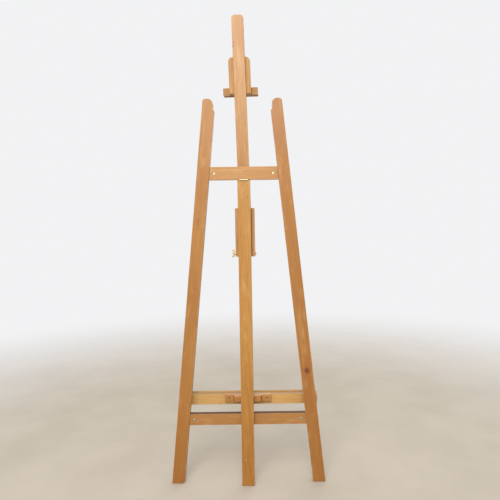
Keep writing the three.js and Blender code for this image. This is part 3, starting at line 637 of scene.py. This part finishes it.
def keep_node(node, material):
    """Leaves a CAD node as it is and gives it a finish."""
    mesh = frame["nodes"][node].data
    mesh.materials.clear()
    mesh.materials.append(material)


NICKEL = plated("nickel", "f4e9d2", "a99c80", 1)
BRASS = plated("brass", "f0dc9c", "8d7a48", 2, (0.18, 0.4))
STEEL = plated("steel", "c9c7c2", "8b8984", 3, (0.28, 0.5))
DULL = plated("dull_nickel", "8e927c", "6d6f5c", 4, (0.4, 0.6))
TUMBLED = plated("tumbled_nickel", "e0d2b0", "8d866c", 5, (0.45, 0.62))
METAL = {"nickel": NICKEL, "brass": BRASS, "steel": STEEL}


# ------------------------------------------------------------------ screws and bolts

def screw_place(node, direction):
    """Radius, length and head's middle of the screw in a CAD node that is driven along direction."""
    low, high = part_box(node)
    run = Vector(direction)
    sideways = Vector((run.z, run.x, run.y))
    length = abs((high - low).dot(run))
    radius = abs((high - low).dot(sideways)) / 2
    return radius, length, (low + high) / 2 - run * length / 2


def countersink(node, direction):
    """The hole round a countersunk screw whose head looks back along -direction."""
    radius, length, head = screw_place(node, direction)
    wide = radius + SCREW_SINK
    narrow = wide * 0.45
    profile = [(wide + 2 * MM, -2 * MM), (wide, 0), (narrow, radius * 0.7), (narrow, length)]
    return moved(lathe(profile, 28), aim(head, direction))


def wood_screw(node, direction, turn=0.0, metal=None):
    """A countersunk screw with a crossed recess, in the place of its CAD node."""
    radius, length, top = screw_place(node, direction)
    shank = radius * 0.5
    neck = radius - shank
    rim_thick = 0.25 * MM
    head = [(0, 0.1 * MM), (radius * 0.8, 0.02 * MM), (radius, rim_thick), (shank, neck + rim_thick)]
    screw = lathe(head + [(shank, length - 4 * MM), (0, length)], 28)
    arm = radius * 0.62
    thin = radius * 0.13
    for x, y in ((arm, thin), (thin, arm)):
        screw = cut(screw, block((-x, -y, -1 * MM), (x, y, 1.1 * MM)))
    place = aim(top, direction) @ Matrix.Rotation(turn, 4, "Z")
    piece(node, moved(screw, place), metal or METAL[SLOT_OF[node]])


def barrel_nut(node):
    """A cross dowel with a screwdriver slot and a dimple in the end that shows."""
    low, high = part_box(node)
    middle = (low + high) / 2
    radius = (high.x - low.x) / 2
    length = high.y - low.y
    chamfer = 0.6 * MM
    body = lathe(chamfered(radius, length, chamfer), 40)
    slot_start = (-radius * 0.8, -0.6 * MM, length - 1.2 * MM)
    slot = block(slot_start, (radius * 0.8, 0.6 * MM, length + 1 * MM))
    dimple = lathe([(1.6 * MM, length - 0.9 * MM), (2.1 * MM, length + 0.3 * MM)], 24)
    placed = moved(cut(body, slot, dimple), aim((middle.x, low.y, middle.z), (0, 1, 0)))
    piece(node, placed, TUMBLED)


def connector_bolt(node, side):
    """A furniture bolt: a low round head with a hexagon socket, and a shank into the barrel nut."""
    low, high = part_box(node)
    middle = (low + high) / 2
    radius = (high.z - low.z) / 2
    length = high.x - low.x
    thick = 2.5 * MM
    profile = [(0, 0), (radius - 1.6 * MM, 0), (radius - 0.5 * MM, 0.35 * MM), (radius, 1.1 * MM)]
    profile += [(radius, thick), (BOLT_RADIUS, thick), (BOLT_RADIUS, length)]
    bolt = lathe(profile, 40)
    socket = lathe([(2.35 * MM, -1 * MM), (2.35 * MM, 1.9 * MM)], 6)
    outer = high.x if side > 0 else low.x
    place = aim((outer, middle.y, middle.z), (-side, 0, 0))
    piece(node, moved(cut(bolt, socket), place), STEEL)


# ------------------------------------------------------------------ timber tones

LEG_TONE = ("a87432", "9e6727")
REAR_TONE = ("b7853b", "ad782d")
UPPER_BAR_TONE = ("b9894f", "ad7b41")
LOWER_BAR_TONE = ("a9763d", "9d682f")
MAST_TONE = ("af7f42", "a67238")
SHELF_TONE = ("d1a868", "c89a57")
SLEEVE_TONE = ("bc8b56", "b07b44")
LIP_TONE = ("ab7e4b", "9f723e")
GUIDE_TONE = ("b88d57", "ac814b")
KEEPER_TONE = ("bd8748", "b1783a")


# ------------------------------------------------------------------ side legs and crossbars

def bolt_seat(side, height):
    """The round pocket in a leg's outer edge for a connector bolt's head."""
    low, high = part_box(("left" if side > 0 else "right") + f"_{height}_connector_bolt")
    middle = (low + high) / 2
    outer = high.x if side > 0 else low.x
    seat = outer - side * 2.8 * MM
    return rod((seat, middle.y, middle.z), (seat + side * 30 * MM, middle.y, middle.z), 7.9 * MM, 40)


def side_leg(side):
    name = "left" if side > 0 else "right"
    node = name + "_leg"
    low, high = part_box(node)
    outline = rim(node, "y")
    solid = eased(prism(outline, "y", low.y, high.y))
    solid = cut(solid, *[bolt_seat(side, height) for height in ("upper", "lower")])
    knots = leg_knots(side, high.y)
    turn = -slope_of(outline)
    # painted shade darkens the legs towards the floor
    wood = beech(node + "_beech", *LEG_TONE, seed=1.3 + side, turn=turn, spots=knots, low_shade=0.35)
    piece(node, solid, wood)


def leg_knots(side, face_y):
    """A faint mark on the left leg; a dark knot in a paler halo and a faint mark on the right one."""
    if side > 0:
        return [Spot((0.155, face_y, 0.905), 0.006, 0.014, "8a5226", 0.5)]
    return [
        Spot((-0.209, face_y, 0.397), 0.02, 0.05, "9a5c2a", 0.5),
        Spot((-0.206, face_y, 0.393), 0.01, 0.013, "5c2a0a"),
        Spot((-0.176, face_y, 0.64), 0.005, 0.016, "8a5226", 0.4),
    ]


def crossbar(height):
    node = height + "_crossbar"
    low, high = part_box(node)
    solid = eased(prism(rim(node, "y"), "y", low.y, high.y))
    holes = [leaf_pocket(1)] if height == "upper" else []
    for name in ("left", "right"):
        nut = centre(f"{name}_{height}_barrel_nut")
        holes.append(rod((nut.x, nut.y - 9 * MM, nut.z), (nut.x, high.y + 5 * MM, nut.z), 5.5 * MM, 40))
    # the lower crossbar's top gets painted shade
    tone, top_shade_weight = (UPPER_BAR_TONE, 0.0) if height == "upper" else (LOWER_BAR_TONE, 0.85)
    wood = beech(node + "_beech", *tone, seed=4.1 + low.z, turn=ALONG_X, shaded_top=top_shade_weight)
    piece(node, cut(solid, *holes), wood)


def frame_fixings():
    for height in ("upper", "lower"):
        for name, side in (("left", 1), ("right", -1)):
            barrel_nut(f"{name}_{height}_barrel_nut")
            connector_bolt(f"{name}_{height}_connector_bolt", side)
            keep_node(f"{name}_{height}_dowel", DOWEL)


# ------------------------------------------------------------------ centre rail

def centre_rail():
    node = "centre_rail"
    low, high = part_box(node)
    solid = eased(prism(rim(node, "z"), "z", low.z, high.z), FINE_EASED)
    screws = [f"{height}_rail_screw_{i}" for height in ("lower", "upper") for i in (1, 2)]
    solid = cut(solid, *[countersink(screw, (0, 1, 0)) for screw in screws])
    piece(node, solid, beech(node + "_beech", *MAST_TONE, seed=7.2))
    for i, screw in enumerate(screws):
        wood_screw(screw, (0, 1, 0), 0.4 + i)


# ------------------------------------------------------------------ sleeve

def sleeve():
    low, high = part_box("sleeve_web")
    web = eased(block(low, high), FINE_EASED)
    piece("sleeve_web", web, beech("sleeve_web_beech", *SLEEVE_TONE, seed=9.4))
    bolt = centre("sleeve_washer")
    for name, side in (("left", 1), ("right", -1)):
        node = name + "_sleeve_cheek"
        low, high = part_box(node)
        solid = eased(prism(rim(node, "z"), "z", low.z, high.z), FINE_EASED)
        screws = [f"{name}_{height}_cheek_screw" for height in ("lower", "upper")]
        holes = [countersink(screw, (-side, 0, 0)) for screw in screws]
        start = (side * 10 * MM, bolt.y, bolt.z)
        holes.append(rod(start, (side * 60 * MM, bolt.y, bolt.z), BOLT_HOLE_RADIUS))
        piece(node, cut(solid, *holes), beech(node + "_beech", *SLEEVE_TONE, seed=10.5 + side))
        for i, screw in enumerate(screws):
            wood_screw(screw, (-side, 0, 0), 0.9 + i)
    carriage_bolt()
    washer()
    wing_nut()


def carriage_bolt():
    """A low domed head and square neck on the right cheek, threaded end through the left one."""
    node = "sleeve_clamp_bolt"
    low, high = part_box(node)
    middle = centre("sleeve_washer")
    head_radius = (high.z - low.z) / 2
    dome_high = 4 * MM
    sphere = (head_radius ** 2 + dome_high ** 2) / (2 * dome_high)
    profile = [(0, 0)]
    steps = 8
    for i in range(1, steps + 1):
        radius = head_radius * i / steps
        profile.append((radius, sphere - math.sqrt(sphere ** 2 - radius ** 2)))
    under_head = dome_high + 0.3 * MM
    profile += [(head_radius - 0.2 * MM, under_head), (BOLT_RADIUS, under_head)]
    profile += [(BOLT_RADIUS, CARRIAGE_SHANK)]
    plain = lathe(profile, 40)
    thread = threaded_rod(BOLT_RADIUS, high.x - low.x - CARRIAGE_SHANK)
    thread = moved(thread, Matrix.Translation((0, 0, CARRIAGE_SHANK)))
    neck = block((-3 * MM, -3 * MM, dome_high), (3 * MM, 3 * MM, dome_high + 5 * MM))
    bolt = moved(together(plain, thread, neck), aim((low.x, middle.y, middle.z), (1, 0, 0)))
    piece(node, bolt, BRASS, smooth=40)


def washer():
    node = "sleeve_washer"
    low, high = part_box(node)
    middle = (low + high) / 2
    outer = (high.z - low.z) / 2
    thick = high.x - low.x
    ring = eased(lathe([(outer, 0), (outer, thick)], 40), 0.3 * MM, 2)
    hole = [(BOLT_HOLE_RADIUS, -1 * MM), (BOLT_HOLE_RADIUS, thick + 1 * MM)]
    ring = cut(ring, lathe(hole, 32))
    piece(node, moved(ring, aim((low.x, middle.y, middle.z), (1, 0, 0))), BRASS)


def wings(span):
    """A cast winged head along +Z: a tapered hub and two rounded ears that rise outwards."""
    hub = [(HUB_RADIUS, 0), (HUB_RADIUS, 1.2 * MM), (HUB_RADIUS - 1 * MM, 3 * MM)]
    hub += [(HUB_RADIUS - 1.6 * MM, HUB_LENGTH)]
    body = eased(lathe(hub, 40), 0.4 * MM, 2)
    tip = span / 2
    root = 2.2 * MM
    ear_low = 0.9 * MM
    ear_high = HUB_LENGTH - 0.8 * MM
    half_thick = 1.3 * MM
    ear = [(root, ear_low), (HUB_RADIUS - 0.4 * MM, ear_low)]
    ear += arc((tip - 4.1 * MM, HUB_LENGTH + 1.4 * MM), 4 * MM, -52, 150, 16)
    ear += [(HUB_RADIUS - 0.2 * MM, ear_high), (root, ear_high)]
    ears = []
    for sign in (1, -1):
        outline = [(sign * x, z) for x, z in ear]
        ears.append(eased(prism(outline, "y", -half_thick, half_thick), 0.8 * MM, 3, 40))
    return joined(body, *ears)


def wing_nut():
    node = "sleeve_wing_nut"
    low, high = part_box(node)
    middle = centre("sleeve_washer")
    bore = 3.2 * MM
    nut = cut(wings(high.z - low.z), lathe([(bore, -2 * MM), (bore, 30 * MM)], 32))
    ears_upright = Matrix.Rotation(-math.pi / 2, 4, "Z")
    piece(node, moved(nut, aim((low.x, middle.y, middle.z), (1, 0, 0)) @ ears_upright), BRASS)


# ------------------------------------------------------------------ mast

def mast():
    node = "mast"
    low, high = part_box(node)
    half = MAST_WIDTH / 2
    outline = rounded_outline(-half, half, MAST_FOOT_Z, MAST_FOOT_Z + MAST_HEIGHT, MAST_TOP_RADIUS)
    solid = eased(prism(outline, "y", low.y, high.y))
    middle_y = (low.y + high.y) / 2
    grooves = []
    for side in (1, -1):
        inner = side * (half - MAST_GROOVE_DEEP)
        outer = side * (half + 5 * MM)
        y0 = middle_y - RAIL_GROOVE_HIGH / 2
        start = (min(inner, outer), y0, MAST_FOOT_Z - OVERCUT)
        top = MAST_FOOT_Z + MAST_HEIGHT + OVERCUT
        grooves.append(block(start, (max(inner, outer), y0 + RAIL_GROOVE_HIGH, top)))
    solid = leaned(cut(solid, *grooves))
    screws = ["lower_mast_screw", "upper_mast_screw"]
    solid = cut(solid, *[countersink(screw, (0, 1, 0)) for screw in screws])
    paint = [
        Spot((0.0292, high.y, 1.506), 0.0036, 0.008, "a03a36", 0.6),
        Spot((0.0240, high.y, 1.501), 0.0045, 0.0028, "b04a3c", 0.4),
        Spot((0.0312, high.y - 0.001, 1.495), 0.0036, 0.004, "3a2620", 0.9),
        Spot((0.018, high.y, 1.572), 0.0018, 0.0018, "7a4c24", 0.8),
        Spot((0.012, high.y, 1.53), 0.0016, 0.002, "7a4c24", 0.7),
    ]
    piece(node, solid, beech("mast_wood", *MAST_TONE, seed=13.1, turn=-LEAN, spots=paint))
    for i, screw in enumerate(screws):
        wood_screw(screw, (0, 1, 0), 0.2 + i)


# ------------------------------------------------------------------ top canvas clamp

def clamp_plate():
    node = "clamp_plate"
    low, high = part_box(node)
    half = CLAMP_WIDTH / 2
    top = CLAMP_FOOT_Z + CLAMP_HEIGHT
    outline = rounded_outline(-half, half, CLAMP_FOOT_Z, top, CLAMP_RADIUS)
    solid = leaned(eased(prism(outline, "y", low.y, high.y)))
    insert = centre("clamp_insert")
    start = (insert.x, low.y - OVERCUT, insert.z)
    hole = rod(start, (insert.x, high.y + OVERCUT, insert.z), 5.3 * MM)
    wood = beech("clamp_plate_wood", *GUIDE_TONE, seed=15.7, turn=-LEAN, coat=0.3)
    piece(node, cut(solid, hole), wood)


def clamp_guide(name, side):
    """A stepped strip beside the mast, with a tongue that runs in the mast's groove."""
    node = name + "_clamp_guide"
    low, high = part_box(node)
    outer = CLAMP_WIDTH / 2
    inner = outer - GUIDE_WIDTH
    top = CLAMP_FOOT_Z + CLAMP_HEIGHT - GUIDE_DROP
    outline = [(inner, CLAMP_FOOT_Z), (outer, CLAMP_FOOT_Z)]
    outline += arc((outer - CLAMP_RADIUS, top - CLAMP_RADIUS), CLAMP_RADIUS, 0, 90)
    wall = prism([(side * x, z) for x, z in outline], "y", low.y, high.y)
    xs = sorted((side * (inner - 1 * MM), side * (inner + GUIDE_REBATE_WIDE)))
    start = (xs[0], high.y - GUIDE_REBATE_DEEP, CLAMP_FOOT_Z - OVERCUT)
    rebate = block(start, (xs[1], high.y + OVERCUT, top + OVERCUT))
    wall = eased(cut(wall, rebate), FINE_EASED)
    tip = MAST_WIDTH / 2 - MAST_GROOVE_DEEP + 0.8 * MM
    xs = sorted((side * tip, side * (inner + 2 * MM)))
    y0 = centre("mast").y - TONGUE_HIGH / 2
    tongue = block((xs[0], y0, CLAMP_FOOT_Z + 1 * MM), (xs[1], y0 + TONGUE_HIGH, top - 2 * MM))
    solid = leaned(joined(wall, eased(tongue, 0.5 * MM, 2)))
    wood = beech(node + "_wood", *GUIDE_TONE, seed=17.9 + side, turn=-LEAN, coat=0.2)
    piece(node, solid, wood)


def clamp_lip():
    """A block across the front of the clamp, notched for the plate and rebated for a canvas's edge."""
    node = "clamp_lip"
    low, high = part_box(node)
    half = LIP_WIDTH / 2
    notch_gap = 0.3 * MM
    notch_half = CLAMP_WIDTH / 2 + notch_gap
    notch_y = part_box("clamp_plate")[0].y - notch_gap
    plan = [(-half, low.y), (half, low.y), (half, high.y), (notch_half, high.y)]
    plan += [(notch_half, notch_y), (-notch_half, notch_y), (-notch_half, high.y), (-half, high.y)]
    solid = prism(plan, "z", CLAMP_FOOT_Z, CLAMP_FOOT_Z + LIP_HEIGHT)
    start = (-half - OVERCUT, low.y + LIP_FRONT, CLAMP_FOOT_Z - OVERCUT)
    end = (half + OVERCUT, notch_y - 1 * MM, CLAMP_FOOT_Z + LIP_REBATE)
    solid = leaned(eased(cut(solid, block(start, end)), FINE_EASED))
    screws = ["left_lip_screw", "right_lip_screw"]
    solid = cut(solid, *[countersink(screw, (0, 1, 0)) for screw in screws])
    turn = ALONG_X - LEAN
    # painted bounce light pales the lip's underside
    wood = beech("clamp_lip_wood", *LIP_TONE, seed=20.3, turn=turn, lit_under=0.7, coat=0.2)
    piece(node, solid, wood)
    for i, screw in enumerate(screws):
        wood_screw(screw, (0, 1, 0), 0.5 + i)


def clamp_insert():
    """A flanged threaded insert for the wing screw."""
    node = "clamp_insert"
    low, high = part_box(node)
    middle = (low + high) / 2
    flange = (high.z - low.z) / 2
    length = high.y - low.y
    body = 5 * MM
    bore = 3.3 * MM
    profile = [(flange - 0.3 * MM, 0), (flange, 0.3 * MM), (flange, 1 * MM)]
    profile += [(body, 1.1 * MM), (body, length)]
    insert = cut(lathe(profile, 40), lathe([(bore, -1 * MM), (bore, length + 1 * MM)], 32))
    piece(node, moved(insert, aim((middle.x, low.y, middle.z), (0, 1, 0))), BRASS)


def clamp_wing_screw():
    """Turned from the front; its tip presses on the mast."""
    node = "clamp_wing_screw"
    low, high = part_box(node)
    insert = centre("clamp_insert")
    head = wings(high.x - low.x)
    shank = threaded_rod(BOLT_RADIUS, WING_SCREW_REACH + 1 * MM)
    shank = moved(shank, Matrix.Translation((0, 0, -WING_SCREW_REACH)))
    place = aim((insert.x, high.y - WING_SCREW_REACH, insert.z), (0, -1, 0))
    level = Matrix.Rotation(LEAN, 4, "Z")
    piece(node, moved(together(head, shank), place @ level), BRASS)


# ------------------------------------------------------------------ shelf

def shelf_bar():
    node = "shelf_bar"
    low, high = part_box(node)
    outline = rounded_outline(low.x, high.x, low.z, high.z, SHELF_RADIUS, SHELF_LOWER_RADIUS)
    solid = prism(outline, "y", low.y, high.y)
    start = (low.x - OVERCUT, high.y - SHELF_SEAT_DEEP, high.z - SHELF_SEAT_DROP)
    end = (high.x + OVERCUT, high.y + OVERCUT, high.z + OVERCUT)
    solid = eased(cut(solid, block(start, end)), FINE_EASED)
    # painted shade darkens the shelf's upward faces
    wood = beech("shelf_bar_wood", *SHELF_TONE, seed=23.9, turn=ALONG_X, shaded_top=0.45, coat=0.4)
    piece(node, solid, wood)


def shelf_keeper():
    """The stepped block that holds the shelf's bar on the rail from behind."""
    node = "shelf_keeper"
    low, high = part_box(node)
    solid = prism(rim(node, "z"), "z", low.z, high.z)
    tab_y = low.y + KEEPER_TAB_THICK
    middle = KEEPER_HALF_MIDDLE + 1 * MM
    start = (-middle, tab_y, low.z - OVERCUT)
    under = block(start, (middle, high.y + OVERCUT, low.z + KEEPER_RAISE))
    solid = eased(cut(solid, under), 1 * MM)
    screws = ["left_keeper_screw", "right_keeper_screw"]
    solid = cut(solid, *[countersink(screw, (0, -1, 0)) for screw in screws])
    piece(node, solid, beech("shelf_keeper_wood", *KEEPER_TONE, seed=26.2, turn=ALONG_X))
    for i, screw in enumerate(screws):
        wood_screw(screw, (0, -1, 0), 0.7 + i, DULL)


# ------------------------------------------------------------------ rear leg and hinge

HINGE = Vector(JOINTS["rear_leg_hinge"]["pos_m"])


def rear_tilt():
    """How far the closed rear leg leans back, from its CAD node."""
    corners = [v.co for v in frame["nodes"]["rear_leg"].data.vertices]
    foot = max(corners, key=lambda c: (round(c.y, 5), -c.z))
    level = [c for c in corners if c.z > HINGE.z - 20 * MM]
    head = max(level, key=lambda c: c.y)
    return math.atan2(foot.y - head.y, head.z - foot.z)


def rear_leg():
    """Hangs from the hinge, closed against the lower crossbar."""
    node = "rear_leg"
    low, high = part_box(node)
    tilt = rear_tilt()
    back = Vector((0, high.y, low.z))
    foot = back + Vector((0, 0, REAR_LEG_THICK * math.sin(tilt)))
    length = (high.z - foot.z) / math.cos(tilt)
    half = (high.x - low.x) / 2
    solid = eased(block((-half, -REAR_LEG_THICK, 0), (half, 0, length)))
    solid = moved(solid, Matrix.Translation(foot) @ Matrix.Rotation(tilt, 4, "X"))
    solid = cut(solid, tilted(leaf_pocket(-1)))
    marks = [
        Spot((-0.0113, 0.041, 0.985), 0.0045, 0.008, "8a5426", 0.7),
        Spot((0.0075, 0.062, 0.0905), 0.002, 0.0024, "ead6ae", 0.85),
        Spot((0.006, 0.05, 0.43), 0.006, 0.03, "9a612c", 0.35),
    ]
    # painted shade darkens the rear leg towards the floor
    piece(node, solid, beech("rear_leg_wood", *REAR_TONE, seed=28.6, spots=marks, low_shade=0.3))


def tilted(solid):
    """Turns a solid drawn hanging straight down into the rear leg's closed position."""
    pivot = Matrix.Translation(HINGE)
    return moved(solid, pivot @ Matrix.Rotation(rear_tilt(), 4, "X") @ pivot.inverted())


def leaf_pocket(up):
    """The shallow recess in the timber that a hinge leaf lies in."""
    half = HINGE_HALF_WIDTH + POCKET_GAP
    zs = sorted((HINGE.z - up * 1 * MM, HINGE.z + up * (LEAF_OUTER + POCKET_GAP)))
    start = (-half, HINGE.y - LEAF_REACH - POCKET_GAP, zs[0])
    return block(start, (half, HINGE.y + 1 * MM, zs[1]))


def knuckle(x0, x1):
    """A stretch of the hinge's barrel."""
    profile = chamfered(KNUCKLE_RADIUS, x1 - x0, 0.35 * MM)
    return moved(lathe(profile, 28), aim((x0, HINGE.y, HINGE.z), (1, 0, 0)))


def hinge_leaf(node, up, stretches):
    """One leaf of the butt hinge: a thin plate, its knuckles, and two countersunk screw holes."""
    half = HINGE_HALF_WIDTH
    zs = sorted((HINGE.z + up * LEAF_INNER, HINGE.z + up * LEAF_OUTER))
    plate = block((-half, HINGE.y - LEAF_REACH, zs[0]), (half, HINGE.y - 2.7 * MM, zs[1]))
    parts = [eased(plate, 0.25 * MM, 2)]
    for x0, x1 in stretches:
        parts.append(block((x0, HINGE.y - 3.4 * MM, zs[0]), (x1, HINGE.y - 0.6 * MM, zs[1])))
        parts.append(knuckle(x0, x1))
    leaf = joined(*parts)
    screw_y = HINGE.y - LEAF_SCREW_REACH
    for side in (1, -1):
        hole = lathe([(3.4 * MM, -1.5 * MM), (1.8 * MM, 1.6 * MM)], 28)
        mouth = (side * LEAF_SCREW_X, screw_y, HINGE.z + up * 0.2 * MM)
        leaf = cut(leaf, moved(hole, aim(mouth, (0, 0, up))))
    piece(node, leaf if up > 0 else tilted(leaf), TUMBLED)


def hinge():
    """Three knuckles in a row: the middle one belongs to the leaf that moves."""
    half = HINGE_HALF_WIDTH
    third = half / 3
    slack = 0.15 * MM
    hinge_leaf("hinge_fixed_leaf", 1, [(-half, -third - slack), (third + slack, half)])
    hinge_leaf("hinge_moving_leaf", -1, [(-third + slack, third - slack)])
    head = 0.4 * MM
    length = 2 * half
    profile = [(1.3 * MM, 0), (1 * MM, head), (1 * MM, length - head), (1.3 * MM, length)]
    pin = lathe(profile, 24)
    piece("hinge_pin", moved(pin, aim((-half, HINGE.y, HINGE.z), (1, 0, 0))), STEEL)
    for name in ("left", "right"):
        wood_screw(name + "_fixed_leaf_screw", (0, 0, 1), 0.6)
        keep_node(name + "_moving_leaf_screw", NICKEL)


# ------------------------------------------------------------------ stage, light and camera

def stage():
    """A plain pale floor that thins out into the background."""
    sheet = bmesh.new()
    bmesh.ops.create_grid(sheet, x_segments=2, y_segments=2, size=9.0)
    mesh = mesh_of(sheet, "floor")
    floor = bpy.data.objects.new("floor", mesh)
    floor.location.z = -0.5 * MM
    bpy.context.scene.collection.objects.link(floor)
    look = Look("floor_plaster")
    place = look.add("ShaderNodeTexCoord").outputs["Object"]
    mottle = look.noise(place, (3, 3, 3), 5.0, 0.6)
    color = look.mix(look.fit(mottle, 0.3, 0.7), rgb("b9afa0"), rgb("b1a797"))
    look.set(look.shader, "Base Color", color)
    look.set(look.shader, "Roughness", 0.85)
    away = look.add("ShaderNodeVectorMath", {0: place}, operation="LENGTH").outputs["Value"]
    clear = look.add("ShaderNodeBsdfTransparent")
    blend = look.add("ShaderNodeMixShader", {0: look.fit(away, 0.9, 3.2), 1: look.shader.outputs[0]})
    look.tree.links.new(clear.outputs[0], blend.inputs[2])
    look.tree.links.new(blend.outputs[0], look.tree.nodes["Material Output"].inputs["Surface"])
    mesh.materials.append(look.material)


def softbox(name, place, target, width, height, power, color):
    """A rectangular area light that faces a target."""
    light = bpy.data.lights.new(name, "AREA")
    light.shape = "RECTANGLE"
    light.size = width
    light.size_y = height
    light.energy = power
    light.color = color
    thing = bpy.data.objects.new(name, light)
    thing.location = place
    aimed = (Vector(target) - Vector(place)).to_track_quat("-Z", "Y")
    thing.rotation_euler = aimed.to_euler()
    bpy.context.scene.collection.objects.link(thing)


def lighting():
    """An even pale sky, a large key light above the camera and a weak fill from the front."""
    world = bpy.data.worlds.new("studio")
    world.use_nodes = True
    background = world.node_tree.nodes["Background"]
    background.inputs["Color"].default_value = (0.985, 0.987, 1.0, 1.0)
    background.inputs["Strength"].default_value = 0.9
    bpy.context.scene.world = world
    softbox("key", (0.2, 2.8, 2.95), (0, 0, 1.4), 2.0, 2.3, 106, (1.0, 0.985, 0.96))
    softbox("front_fill", (-1.2, -3.4, 2.8), (0, 0, 0.9), 3.4, 3.0, 32, (1.0, 0.99, 0.97))


def camera():
    """Behind the easel at waist height, a little to the right, looking slightly down."""
    data = bpy.data.cameras.new("camera")
    data.sensor_width = 36.0
    data.lens = 35.0
    data.shift_x = -0.0542
    data.clip_start = 0.05
    data.clip_end = 60.0
    thing = bpy.data.objects.new("camera", data)
    pitch = math.radians(3.76)
    roll = math.radians(-0.76)
    right = Vector((-1, 0, 0))
    forward = Vector((0, -math.cos(pitch), -math.sin(pitch)))
    above = right.cross(forward)
    axes = Matrix((right, above, -forward)).transposed().to_4x4()
    place = Matrix.Translation((-0.1086, 1.6706, 0.914))
    thing.matrix_world = place @ axes @ Matrix.Rotation(roll, 4, "Z")
    bpy.context.scene.collection.objects.link(thing)
    bpy.context.scene.camera = thing
    bpy.context.scene.view_settings.view_transform = "Standard"


# ------------------------------------------------------------------ the easel

DOWEL = beech("dowel_beech", "c99e6a", "bb8c56", seed=31.4, turn=ALONG_X)

for side in (1, -1):
    side_leg(side)
crossbar("upper")
crossbar("lower")
frame_fixings()
centre_rail()
sleeve()
mast()
clamp_plate()
clamp_guide("left", 1)
clamp_guide("right", -1)
clamp_lip()
clamp_insert()
clamp_wing_screw()
shelf_bar()
shelf_keeper()
rear_leg()
hinge()
stage()
lighting()
camera()
